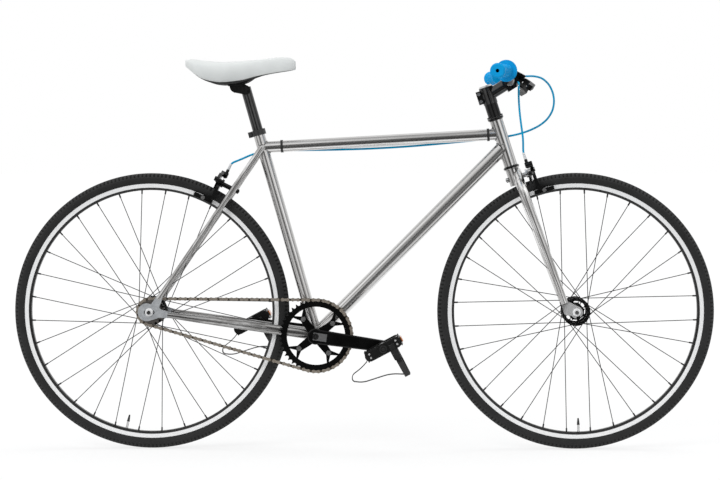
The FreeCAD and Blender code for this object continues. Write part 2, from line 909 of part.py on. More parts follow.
def headset_cups():
    """A cup at each end of the head tube, bored to run on the steerer."""
    cups = []
    skirt = size.head_tube_diameter - 2 * size.head_tube_wall
    bore = size.steerer_diameter + 2 * size.running_fit
    for name, seat, outward, height in (("upper_cup", head_tip, steer, size.upper_stack * 0.6),
                                        ("lower_cup", head_foot, -steer, size.lower_stack * 0.6)):
        body = new_body(name, axes(seat, LEFT, outward))
        section = sketch_on(body, "XZ_Plane")
        outline(section, [(bore / 2, -size.headset_skirt), (skirt / 2, -size.headset_skirt), (skirt / 2, 0),
                          (size.head_tube_diameter / 2, 0), (size.headset_diameter / 2, height / 2),
                          (size.headset_diameter / 2, height), (bore / 2, height)])
        turned(body, section)
        cups.append(body)
    group("headset_cups", cups)


def seat_clamp():
    """A split collar round the top of the seat tube, with its bolt through two ears behind."""
    foot = seat_tip - seat_line * float(size.seat_clamp_height * 0.8)
    body = new_body("seat_clamp_collar", axes(foot, seat_behind, seat_line))
    outer = size.seat_tube_diameter + 2 * size.seat_clamp_wall
    band = sketch_on(body)
    circle(band, 0, 0, outer)
    pad(body, band, size.seat_clamp_height)
    ear = sketch_on(body)
    reach = outer / 2 + size.seat_clamp_ear * 0.6
    half = size.seat_clamp_ear / 2
    outline(ear, [(0, -half), (reach, -half), (reach, half), (0, half)])
    pad(body, ear, size.seat_clamp_height)
    bore = sketch_on(body)
    circle(bore, 0, 0, size.seat_tube_diameter)
    pocket(body, bore)
    slit = sketch_on(body)
    half = size.seat_slot / 2
    outline(slit, [(0, -half), (outer, -half), (outer, half), (0, half)])
    pocket(body, slit)
    bolt_centre = foot + seat_line * float(size.seat_clamp_height / 2) \
        + seat_behind * float(outer / 2 + size.seat_clamp_ear * 0.15)
    length = size.seat_clamp_ear + size.clearance
    bolt = cylinder("seat_clamp_shank", size.seat_clamp_bolt, length + size.seat_clamp_bolt,
                    along(bolt_centre + RIGHT * float(length / 2), LEFT))
    head = cylinder("seat_clamp_head", size.seat_clamp_bolt * 1.8, size.seat_clamp_bolt,
                    along(bolt_centre + RIGHT * float(size.seat_clamp_ear / 2 + size.seat_clamp_bolt), LEFT))
    collar = cut("seat_clamp_band", body, bolt, head)
    group("seat_clamp", [collar, fuse("seat_clamp_screw", bolt, head)])


def axle_set(prefix, centre, hub_width, diameter, plate):
    """An axle with its inner locknuts, outer washers and hexagon nuts, and a bare stub at each end."""
    solids = []
    half = hub_width / 2
    clamped = 2 * (half + plate + size.axle_washer_height + size.axle_nut_height)
    length = clamped + 2 * size.axle_stub
    rod = cylinder(f"{prefix}_axle_rod", diameter, clamped, along(centre + RIGHT * float(clamped / 2), LEFT))
    core = cylinder(f"{prefix}_axle_core", diameter * 0.9, length, along(centre + RIGHT * float(length / 2), LEFT))
    solids.append(fuse(f"{prefix}_stepped_axle", rod, core))
    bearing_face = size.flange_spacing / 2 + size.flange_thickness + size.bearing_width + size.clearance
    for side, outward in SIDES.items():
        inner = centre + outward * float(bearing_face)
        solids.append(ring(f"{prefix}_{side}_locknut", size.locknut_diameter, diameter, half - bearing_face,
                           along(inner, outward)))
        seat = centre + outward * float(half + plate)
        solids.append(ring(f"{prefix}_{side}_washer", size.axle_washer, diameter, size.axle_washer_height,
                           along(seat, outward)))
        seat = seat + outward * float(size.axle_washer_height)
        blank = hexagon(f"{prefix}_{side}_nut_blank", size.axle_nut_width, size.axle_nut_height,
                        axes(seat, UP, outward))
        solids.append(cut(f"{prefix}_{side}_nut", blank, cylinder(
            f"{prefix}_{side}_nut_bore", diameter, size.axle_nut_height, along(seat, outward))))
    group(f"{prefix}_axle", solids)


tubes = main_tubes()
dropouts = rear_dropouts()
chainstay_blanks = chainstays(tubes, dropouts)
seatstay_blanks = seatstays(tubes, dropouts)
stay_bridges(chainstay_blanks, seatstay_blanks)
headset_cups()
seat_clamp()
axle_set("rear", rear_axle, size.rear_hub_width, size.rear_axle_diameter, size.dropout_thickness)


# Wheels, modelled with the local Z axis along the axle towards the rider's left


def wheel_frame(centre, valve_angle):
    """The wheel's placement: its rim holes count from local X, and its valve lies in a gap that the spokes leave."""
    valve_turn = 360 / float(size.spokes_a_wheel) * 3.5
    return axes(centre, in_plane(valve_angle + valve_turn), LEFT)


def tyre(prefix, placement):
    """A hollow casing with beads inside the rim and shallow grooves round the tread."""
    body = new_body(f"{prefix}_tyre", placement)
    bead = size.bead_seat_diameter / 2
    crest = bead + size.tyre_height
    half = size.tyre_width / 2
    middle = crest - half
    lip = bead + size.rim_flange + size.clearance
    bead_out = size.rim_width / 2 - size.rim_wall - size.running_fit
    bead_in = bead_out - size.tyre_casing
    shoulder = half * 0.8
    hollow = half - size.tyre_casing
    section = sketch_on(body, "XZ_Plane")
    outline(section, [
        (bead, -bead_in), (bead, -bead_out), (lip, -bead_out), (middle - shoulder * 0.75, -shoulder),
        (middle + shoulder * 0.75, -shoulder, middle, -half), (middle + shoulder * 0.75, shoulder, crest, 0),
        (middle - shoulder * 0.75, shoulder, middle, half), (lip, bead_out), (bead, bead_out), (bead, bead_in),
        (lip, bead_in), (middle, hollow), (middle, -hollow, crest - size.tyre_tread, 0), (lip, -bead_in)])
    turned(body, section)
    piece(f"{prefix}_tyre", body)


def rim_directions():
    """Angle, flange side and lacing direction of each spoke, one rim hole after another."""
    holes = int(float(size.spokes_a_wheel))
    step = 2 * math.pi / holes
    wound = float(size.spoke_crossings) * 2 * step
    for hole in range(holes):
        side = 1 if hole % 2 else -1
        leading = hole % 4 < 2
        yield hole * step, side, wound if leading else -wound, leading


def rim(prefix, placement):
    """A channel with flat brake tracks, drilled for the nipples and the valve."""
    body = new_body(f"{prefix}_rim_blank", placement)
    edge = size.bead_seat_diameter / 2 + size.rim_flange
    base = edge - size.rim_depth
    half = size.rim_width / 2
    foot = size.rim_base_width / 2
    inner = half - size.rim_wall
    floor = base + size.rim_floor
    section = sketch_on(body, "XZ_Plane")
    outline(section, [
        (base, -foot), (edge - size.brake_track, -half), (edge, -half), (edge, -inner), (floor + size.rim_wall, -inner),
        (floor, -foot + size.rim_wall), (floor, foot - size.rim_wall), (floor + size.rim_wall, inner), (edge, inner),
        (edge, half), (edge - size.brake_track, half), (base, foot)])
    turned(body, section)
    doc.recompute()
    reach = float(base - size.overrun)
    depth = float(size.rim_floor + 2 * size.overrun)
    drills = []
    for angle, side, _, _ in rim_directions():
        heading = Vector(math.cos(angle), math.sin(angle), 0)
        start = heading * reach + UP * (side * float(size.spoke_stagger))
        drills.append(Part.makeCylinder(float(size.nipple_diameter / 2 + size.clearance), depth, start, heading))
    valve_turn = 2 * math.pi / float(size.spokes_a_wheel) * 3.5
    heading = Vector(math.cos(valve_turn), math.sin(valve_turn), 0)
    drills.append(Part.makeCylinder(float(size.valve_diameter / 2 + size.clearance), depth, heading * reach, heading))
    holes = shape(f"{prefix}_rim_holes", Part.makeCompound(drills))
    holes.Placement = placement
    piece(f"{prefix}_rim", cut(f"{prefix}_rim", body, holes))


def inner_tube(prefix, placement):
    """The inner tube with its valve stem through the rim, and the valve's cap."""
    edge = size.bead_seat_diameter / 2 + size.rim_flange
    middle = edge + (size.tyre_height - size.rim_flange - size.tyre_tread - size.tube_diameter / 2 - size.clearance)
    rings = []
    for name, diameter in (("skin", size.tube_diameter), ("air", size.tube_diameter - 2 * size.tube_wall)):
        torus = doc.addObject("Part::Torus", f"{prefix}_tube_{name}")
        set_size(torus, "Radius1", middle)
        set_size(torus, "Radius2", diameter / 2)
        torus.Placement = placement
        rings.append(torus)
    turn = 2 * math.pi / float(size.spokes_a_wheel) * 3.5
    heading = placement.Rotation.multVec(Vector(math.cos(turn), math.sin(turn), 0))
    centre = placement.Base
    base = edge - size.rim_depth
    tip = base - size.valve_length
    cap_foot = tip + size.valve_cap_length
    stem = cylinder(f"{prefix}_valve_stem", size.valve_diameter, middle - cap_foot,
                    along(centre + heading * float(cap_foot), heading))
    cap = cone(f"{prefix}_valve_cap", size.valve_cap_diameter, size.valve_cap_diameter / 2, size.valve_cap_length,
               along(centre + heading * float(cap_foot), -heading))
    skin = fuse(f"{prefix}_tube_and_stem", rings[0], stem)
    group(f"{prefix}_inner_tube", [cut(f"{prefix}_tube_hollow", skin, rings[1]), cap])


def hub(prefix, placement, hub_width, axle_diameter, cog_boss):
    """A high-flange hub shell with slotted flanges and a bearing in each end."""
    body = new_body(f"{prefix}_hub_shell", placement)
    outer = size.flange_spacing / 2 + size.flange_thickness / 2
    inner = outer - size.flange_thickness
    end = size.flange_spacing / 2 + size.flange_thickness + size.bearing_width
    barrel = size.hub_barrel / 2
    lip = size.hub_end / 2
    flange = size.flange_diameter / 2
    bore = size.bearing_diameter / 2
    floor = end - size.bearing_width
    axle = axle_diameter / 2 + size.clearance
    boss = size.cog_bore / 2 if cog_boss else lip
    section = sketch_on(body, "XZ_Plane")
    outline(section, [
        (axle, -floor), (bore, -floor), (bore, -end), (boss, -end), (boss, -outer), (flange, -outer),
        (flange, -inner), (barrel, -inner), (barrel, inner), (flange, inner), (flange, outer), (lip, outer),
        (lip, end), (bore, end), (bore, floor), (axle, floor)])
    turned(body, section)
    holes = int(float(size.spokes_a_wheel)) // 2
    for lift, turn in ((outer + size.overrun, 180 / holes), (-inner + size.overrun, 0)):
        hole = sketch_on(body, lift=lift, turn=turn)
        circle(hole, size.flange_holes / 2, 0, size.spoke_diameter + size.clearance)
        repeated(body, pocket(body, hole, size.flange_thickness + 2 * size.overrun), holes)
    slot = sketch_on(body)
    long = size.flange_slot_width * 0.7
    capsule(slot, (size.flange_slot_circle / 2, -long, size.flange_slot_width),
            (size.flange_slot_circle / 2, long, size.flange_slot_width))
    repeated(body, pocket(body, slot), size.flange_slots)
    bearings = []
    for side, outward in SIDES.items():
        seat = placement.Base + outward * float(floor)
        bearings.append(ring(f"{prefix}_{side}_bearing", size.bearing_diameter,
                             axle_diameter + 2 * size.running_fit, size.bearing_width, along(seat, outward)))
    group(f"{prefix}_hub", [body] + bearings)


def spokes(prefix, placement):
    """Laced spokes, bent through the flange holes, each with its nipple in the rim."""
    radius = float(size.spoke_diameter) / 2
    rim_base = float(size.bead_seat_diameter / 2 + size.rim_flange - size.rim_depth)
    seat = rim_base + float(size.rim_floor)
    pitch = float(size.flange_holes) / 2
    solids = []
    for angle, side, wound, leading in rim_directions():
        hole = angle + wound
        face = float(size.flange_spacing) / 2
        half = float(size.flange_thickness) / 2
        away = 1 if leading else -1
        rim_point = Vector(math.cos(angle), math.sin(angle), 0) * seat
        rim_point.z = side * float(size.spoke_stagger)
        lean = (face - float(size.spoke_stagger)) / (seat - pitch)
        margin = (float(size.flange_diameter) / 2 - pitch) * lean if leading else 0
        stand = half + radius + margin + float(size.clearance)
        elbow = Vector(math.cos(hole) * pitch, math.sin(hole) * pitch, side * (face + away * stand))
        across = UP * (-side * away)
        neck = stand + half + float(size.clearance) / 2
        run = (rim_point - elbow).normalize()
        end = rim_point - run * float(size.nipple_diameter / 4)
        parts = [Part.makeCylinder(radius, neck, elbow, across), Part.makeSphere(radius, elbow),
                 Part.makeCylinder(float(size.spoke_head) / 2, radius, elbow + across * neck, across)]
        shank = Part.makeCylinder(radius, (end - elbow).Length, elbow, run)
        solids.append(shank.fuse(parts).removeSplitter())
        head = float(size.nipple_head) / 2
        collar = rim_point + run * (head * 0.25)
        nipple = Part.makeCylinder(float(size.nipple_diameter) / 2, float(size.nipple_length),
                                   collar - run * float(size.nipple_length), run)
        nipple = nipple.fuse(Part.makeCone(head, head * 0.8, head * 0.6, collar, run))
        solids.append(nipple.cut(Part.makeCylinder(radius, (end - elbow).Length, elbow, run)))
    feature = shape(f"{prefix}_spokes", Part.makeCompound(solids))
    feature.Placement = placement
    piece(f"{prefix}_spokes", feature)


def wheel(prefix, centre, valve_angle, hub_width, axle_diameter, cog_boss):
    placement = wheel_frame(centre, valve_angle)
    tyre(prefix, placement)
    rim(prefix, placement)
    inner_tube(prefix, placement)
    hub(prefix, placement, hub_width, axle_diameter, cog_boss)
    spokes(prefix, placement)


wheel("front", front_axle, size.front_valve_angle, size.front_hub_width, size.front_axle_diameter, False)
wheel("rear", rear_axle, size.rear_valve_angle, size.rear_hub_width, size.rear_axle_diameter, True)


# Chain drive


def tooth_gaps(body, teeth, turn):
    """Roller seats with straight flanks, cut all round the blank."""
    radius = size.chain_pitch / 2 / math.sin(math.pi / float(teeth))
    seat = size.roller_diameter / 2 + size.running_fit
    tip = radius + size.tooth_height
    across = seat * math.sin(math.radians(60))
    depth = radius - seat / 2
    flank = across + (tip - depth) * math.tan(math.radians(30))
    gap = sketch_on(body, turn=turn)
    past = tip + size.overrun
    outline(gap, [(tip, -flank), (past, -flank), (past, flank), (tip, flank), (depth, across),
                  (depth, -across, radius - seat, 0)])
    repeated(body, pocket(body, gap), teeth)


def toothed_blank(label, placement, teeth, thickness):
    body = new_body(label, placement)
    radius = size.chain_pitch / 2 / math.sin(math.pi / float(teeth))
    disc = sketch_on(body)
    circle(disc, 0, 0, 2 * (radius + size.tooth_height))
    pad(body, disc, thickness, symmetric=True)
    return body


def rear_cog():
    """The track cog on the hub's boss, and the lockring outside it."""
    placement = axes(rear_axle + RIGHT * float(size.chain_line), -drive_line, RIGHT)
    body = toothed_blank("cog", placement, size.cog_teeth, size.tooth_thickness)
    inner = size.chain_line - size.flange_spacing / 2 - size.flange_thickness / 2
    base = sketch_on(body, lift=-inner)
    circle(base, 0, 0, size.cog_neck)
    pad(body, base, inner + size.tooth_thickness / 2)
    bore = sketch_on(body)
    circle(bore, 0, 0, size.cog_bore)
    pocket(body, bore)
    tooth_gaps(body, size.cog_teeth, 180 / float(size.cog_teeth))
    seat = rear_axle + RIGHT * float(size.chain_line + size.tooth_thickness / 2)
    lockring = ring("lockring", size.lockring_diameter, size.hub_end, size.lockring_height, along(seat, RIGHT))
    group("rear_cog", [body, lockring])


def chainring():
    """A toothed band carried by four windowed tabs."""
    placement = axes(bracket + RIGHT * float(size.chain_line), drive_line, RIGHT)
    body = toothed_blank("chainring", placement, size.chainring_teeth, size.tooth_thickness)
    window = sketch_on(body)
    circle(window, 0, 0, size.ring_band_diameter)
    pocket(body, window)
    bolt = size.bolt_circle / 2
    band = size.ring_band_diameter / 2
    spread = band * math.sin(math.radians(17))
    past = band + size.tooth_height / 2
    tab = sketch_on(body, turn=45)
    half = size.ring_tab / 2
    outline(tab, [(past, -spread), (past, spread), (bolt, half), (bolt, -half, bolt - half, 0)])
    repeated(body, pad(body, tab, size.tooth_thickness, symmetric=True), 4)
    hole = sketch_on(body, turn=45)
    circle(hole, bolt, 0, size.ring_bolt)
    repeated(body, pocket(body, hole), 4)
    eye = sketch_on(body, turn=45)
    near = bolt + half * 0.95
    half_angle = math.radians(17 * float(size.ring_window_share))
    wide = band * math.sin(half_angle)
    rise = band * math.cos(half_angle)
    outline(eye, [(rise, -wide), (rise, wide, band, 0), (near, 0)])
    repeated(body, pocket(body, eye), 4)
    tooth_gaps(body, size.chainring_teeth, 180 / float(size.chainring_teeth))
    piece("chainring", body)


def chainring_bolts():
    """Four sleeve bolts through the spider and the chainring."""
    bolts = []
    inner = size.chain_line - size.tooth_thickness / 2
    grip = size.tooth_thickness + size.spider_thickness
    for index in range(4):
        spot = bracket + in_plane(math.degrees(math.atan2(drive_line.z, drive_line.x)) + 45 + 90 * index) \
            * float(size.bolt_circle / 2)
        sleeve = cylinder(f"ring_bolt_{index}", size.ring_bolt, grip, along(spot + RIGHT * float(inner), RIGHT))
        nut = cylinder(f"ring_nut_{index}", size.ring_bolt_head, size.ring_bolt_height,
                       along(spot + RIGHT * float(inner - size.ring_bolt_height), RIGHT))
        head = cylinder(f"ring_head_{index}", size.ring_bolt_head, size.ring_bolt_height,
                        along(spot + RIGHT * float(inner + grip), RIGHT))
        bolts.append(fuse(f"ring_bolt_set_{index}", sleeve, nut, head))
    group("chainring_bolts", bolts)


def square(sketch, width):
    half = width / 2
    outline(sketch, [(-half, -half), (half, -half), (half, half), (-half, half)])


def crank(side, heading):
    """A crank arm with a square seat for the spindle and an eye for the pedal."""
    outward = SIDES[side]
    body = new_body(f"{side}_crank", axes(bracket, heading, outward))
    face = size.crank_offset + size.crank_thickness
    root = size.chain_line + size.tooth_thickness / 2 if side == "right" else size.crank_offset - size.crank_thickness / 2
    if side == "right":
        for angle in (45, 135, 225, 315):
            arm = sketch_on(body, lift=root, turn=angle)
            capsule(arm, (0, 0, size.spider_arm), (size.bolt_circle / 2, 0, size.ring_tab))
            pad(body, arm, size.spider_thickness)
    boss = sketch_on(body, lift=root)
    circle(boss, 0, 0, size.crank_boss)
    pad(body, boss, face - root)
    blade = sketch_on(body, lift=size.crank_offset)
    capsule(blade, (0, 0, size.crank_root), (size.crank_length, 0, size.crank_end))
    arm = pad(body, blade, size.crank_thickness)
    chamfered(body, arm, face, size.crank_chamfer)
    recess = sketch_on(body, lift=face)
    circle(recess, 0, 0, size.crank_bolt + 2 * size.clearance)
    pocket(body, recess, size.crank_bolt_recess)
    seat = sketch_on(body)
    square(seat, size.spindle_square)
    pocket(body, seat)
    eye = sketch_on(body)
    circle(eye, size.crank_length, 0, size.pedal_thread)
    pocket(body, eye)
    if side == "right":
        for angle in (45, 135, 225, 315):
            hole = sketch_on(body, turn=angle)
            circle(hole, size.bolt_circle / 2, 0, size.ring_bolt)
            pocket(body, hole)
    piece(f"{side}_crank", body)


def spindle():
    """The bottom bracket spindle with square ends, and a bolt in each end."""
    half = size.crank_offset + size.crank_thickness - size.crank_bolt_recess
    shoulder = size.shell_width / 2 + size.cup_flange_height + size.clearance
    body = new_body("spindle_rod", axes(bracket, drive_line, RIGHT))
    rod = sketch_on(body)
    circle(rod, 0, 0, size.spindle_diameter)
    pad(body, rod, 2 * shoulder, symmetric=True)
    seat = sketch_on(body)
    square(seat, size.spindle_square)
    pad(body, seat, 2 * half, symmetric=True)
    solids = [body]
    for side, outward in SIDES.items():
        foot = bracket + outward * float(half)
        cap = cylinder(f"{side}_crank_bolt_cap", size.crank_bolt, size.crank_bolt_recess * 0.8, along(foot, outward))
        key = hexagon(f"{side}_crank_bolt_key", size.crank_bolt / 2, size.crank_bolt_recess * 0.8,
                      axes(foot + outward * float(size.crank_bolt_recess * 0.3), UP, outward))
        solids.append(cut(f"{side}_crank_bolt", cap, key))
    group("bottom_bracket_spindle", solids)


def chain_pins():
    """The chain's pins in order, in the plane of the chain line."""
    centre = RIGHT * float(size.chain_line)
    up = RIGHT.cross(drive_line)
    up = up if up.z > 0 else -up
    ring_radius = pitch_radius(size.chainring_teeth)
    cog_radius = pitch_radius(size.cog_teeth)
    ring_step = 2 * math.pi / float(size.chainring_teeth)
    cog_step = 2 * math.pi / float(size.cog_teeth)
    pins = []
    for index in range(RING_PINS):
        angle = ((RING_PINS - 1) / 2 - index) * ring_step
        pins.append(bracket + centre + (drive_line * math.cos(angle) + up * math.sin(angle)) * ring_radius)
    cog = []
    for index in range(COG_PINS):
        angle = (index - (COG_PINS - 1) / 2) * cog_step
        cog.append(rear_axle + centre + (up * math.sin(angle) - drive_line * math.cos(angle)) * cog_radius)
    lower_run = [pins[-1] + (cog[0] - pins[-1]) * (step / FREE_LINKS) for step in range(1, FREE_LINKS)]
    upper_run = [cog[-1] + (pins[0] - cog[-1]) * (step / FREE_LINKS) for step in range(1, FREE_LINKS)]
    return pins + lower_run + cog + upper_run


def link_plate():
    """A figure-of-eight plate between two pins, drawn at Z = 0 along X from the origin."""
    radius = float(size.link_plate_height) / 2
    waist = float(size.link_waist) / 2
    span = float(size.chain_pitch)
    lobe = math.radians(50)
    x = radius * math.cos(lobe)
    y = radius * math.sin(lobe)
    points = [Vector(x, -y, 0), Vector(x, y, 0), Vector(span - x, y, 0), Vector(span - x, -y, 0)]
    edges = [Part.Arc(points[0], Vector(-radius, 0, 0), points[1]),
             Part.Arc(points[1], Vector(span / 2, waist, 0), points[2]),
             Part.Arc(points[2], Vector(span + radius, 0, 0), points[3]),
             Part.Arc(points[3], Vector(span / 2, -waist, 0), points[0])]
    return Part.Face(Part.Wire([edge.toShape() for edge in edges]))


def chain():
    """Inner links with rollers and outer links with pins, one after another round the loop."""
    span = Vector(float(size.chain_pitch), 0, 0)
    plate = float(size.link_plate)
    inner_face = float(size.roller_width) / 2
    gap = float(size.running_fit)
    pin = float(size.pin_diameter) / 2
    hole = pin + gap
    outer_face = inner_face + plate + gap
    face = link_plate()
    inner = [face.extrude(UP * plate).translate(UP * inner_face),
             face.extrude(UP * plate).translate(UP * (-inner_face - plate))]
    rollers = [Part.makeCylinder(float(size.roller_diameter) / 2, 2 * inner_face, spot - UP * inner_face, UP)
               for spot in (Vector(), span)]
    bores = [Part.makeCylinder(hole, 4 * outer_face, spot - UP * (2 * outer_face), UP) for spot in (Vector(), span)]
    inner_link = inner[0].fuse([inner[1]] + rollers).cut(bores).removeSplitter()
    outer = [face.extrude(UP * plate).translate(UP * outer_face),
             face.extrude(UP * plate).translate(UP * (-outer_face - plate))]
    end = outer_face + plate + gap
    pins = [Part.makeCylinder(pin, 2 * end, spot - UP * end, UP) for spot in (Vector(), span)]
    outer_link = outer[0].fuse([outer[1]] + pins).removeSplitter()
    spots = chain_pins()
    links = []
    for index, (start, end) in enumerate(zip(spots, spots[1:] + spots[:1])):
        link = (outer_link if index % 2 else inner_link).copy()
        link.Placement = axes(start, end - start, RIGHT)
        links.append(link)
    piece("chain", shape("chain", Part.makeCompound(links)))


rear_cog()
chainring()
chainring_bolts()
crank("right", drive_line)
crank("left", -drive_line)
spindle()
chain()


# Fork, in its own frame: local Z up the steerer, local X ahead, the origin at the crown race


fork_frame = axes(crown, ahead, steer)


# The brake bolt's drop below the crown race puts the shoes on the rim's braking track.
brake_drop = float(size.fork_length - size.caliper_reach) - math.sqrt(
    float(TRACK_RADIUS) ** 2 - float(size.caliper_offset + size.caliper_lead - size.fork_rake) ** 2)


def in_fork(x, y, z):
    return fork_frame.multVec(Vector(x, y, z))


def fork_steerer():
    """The steerer with the crown race and the crown stub, drilled for the brake bolt."""
    body = new_body("fork_steerer_rod", fork_frame)
    outer = size.steerer_diameter / 2
    bore = outer - size.steerer_wall
    stub = size.crown_diameter / 2
    top = size.lower_stack + size.head_tube_length + size.upper_stack + size.spacer_height + size.stem_height
    race = size.lower_stack * 0.4 - size.clearance
    section = sketch_on(body, "XZ_Plane")
    outline(section, [(bore, -size.crown_depth), (stub, -size.crown_depth), (stub, 0), (size.headset_diameter / 2, race / 2),
                      (size.headset_diameter / 2, race), (outer, race), (outer, top - size.clearance),
                      (bore, top - size.clearance)])
    turned(body, section)
    foot = in_fork(-size.crown_diameter, 0, -brake_drop)
    drill = cylinder("crown_hole", size.caliper_bolt, 2 * size.crown_diameter, along(foot, ahead))
    piece("fork_steerer", cut("fork_steerer", body, drill))
    return cylinder("crown_blank", size.crown_diameter, size.crown_depth + size.overrun,
                    along(in_fork(0, 0, -size.crown_depth), steer))


def fork_ends():
    """Plates that reach ahead from the blades to the axle, each with a window and an open slot."""
    plates = []
    for side, outward in SIDES.items():
        inner = size.front_hub_width / 2
        body = new_body(f"{side}_fork_end", axes(front_axle + outward * float(inner), ahead, outward))
        up = -1 if side == "left" else 1
        tip_back = size.fork_rake - size.blade_lead - size.blade_lean
        rise = size.blade_gap
        plate = sketch_on(body)
        capsule(plate, (0, 0, size.fork_end_radius * 2), (-tip_back, rise * up, size.blade_tip * 0.9))
        pad(body, plate, size.fork_end_thickness)
        web = sketch_on(body)
        capsule(web, (-tip_back * 1.1, rise * (0.25 * up), size.fork_end_radius), (-tip_back, rise * up, size.blade_tip * 0.9))
        pad(body, web, size.fork_end_thickness)
        foot = sketch_on(body)
        capsule(foot, (-tip_back * 1.1, rise * (0.25 * up), size.fork_end_radius), (0, 0, size.fork_end_radius * 1.2))
        pad(body, foot, size.fork_end_thickness)
        slot = sketch_on(body)
        half = (size.front_axle_diameter + size.clearance) / 2
        low = -size.fork_end_radius * (1.5 * up)
        outline(slot, [(-half, low), (half, low), (half, 0), (-half, 0, 0, half * up)])
        pocket(body, slot)
        plates.append(body)
    return plates


def fork_blades(crown_blank, plates):
    """Two tapered blades that bend out from the crown and run down to the ends."""
    solids = []
    crown_size = size.crown_diameter
    bolt_room = cylinder("blade_bolt_room", size.caliper_nut + 2 * size.clearance, 4 * crown_size,
                         along(in_fork(-2 * float(crown_size), 0, -brake_drop), ahead))
    for (side, outward), plate in zip(SIDES.items(), plates):
        away = outward.y
        lead = float(size.blade_lead)
        shoulder = float(size.blade_shoulder)
        spread = float(size.blade_spread)
        foot_depth = float(size.fork_length - size.blade_gap)
        foot_spread = float(size.front_hub_width / 2 + size.fork_end_thickness / 2)
        start = in_fork(lead, 0, -shoulder + spread)
        corner = in_fork(lead, spread * away, -shoulder)
        foot = in_fork(lead + float(size.blade_lean), foot_spread * away, -foot_depth)
        first = (foot - corner).normalize()
        turn = (corner - start).getAngle(first)
        reach = float(size.blade_bend) * math.tan(turn / 2)
        path = rounded_path([start, corner, corner + first * (reach * 1.2)], [float(size.blade_bend)])
        taper_foot = corner + first * (reach * 1.2)
        length = (foot - taper_foot).Length
        skins = []
        for inset in (0, float(size.blade_wall)):
            top = float(size.blade_top) / 2 - inset
            tip = float(size.blade_tip) / 2 - inset
            bend = round_sweep(path, 2 * top)
            skins.append(bend.fuse(Part.makeCone(top, tip, length, taper_foot, first)).removeSplitter())
        outer = shape(f"{side}_blade_outer", skins[0])
        inner = shape(f"{side}_blade_inner", skins[1])
        far_half = box(f"{side}_blade_far_half", 4 * crown_size, 2 * crown_size, 4 * crown_size,
                       axes(in_fork(0, -away * float(crown_size), -2 * float(crown_size)), ahead, steer))
        solids.append(cut(f"{side}_blade", outer, inner, crown_blank, plate, far_half, bolt_room))
    group("fork_blades", solids + plates)


def headset_top():
    """The headset's top cover, the spacers under the stem and the cap over it."""
    bore = size.steerer_diameter
    low = size.upper_stack * 0.6 + size.clearance
    solids = [ring("headset_cover", size.headset_diameter, bore, size.upper_stack - low,
                   along(head_tip + steer * float(low), steer))]
    step = size.spacer_height / size.spacer_count
    for index in range(int(float(size.spacer_count))):
        foot = head_tip + steer * float(size.upper_stack + step * index)
        solids.append(ring(f"spacer_{index}", size.spacer_diameter, bore, step, along(foot, steer)))
    group("headset_spacers", solids)


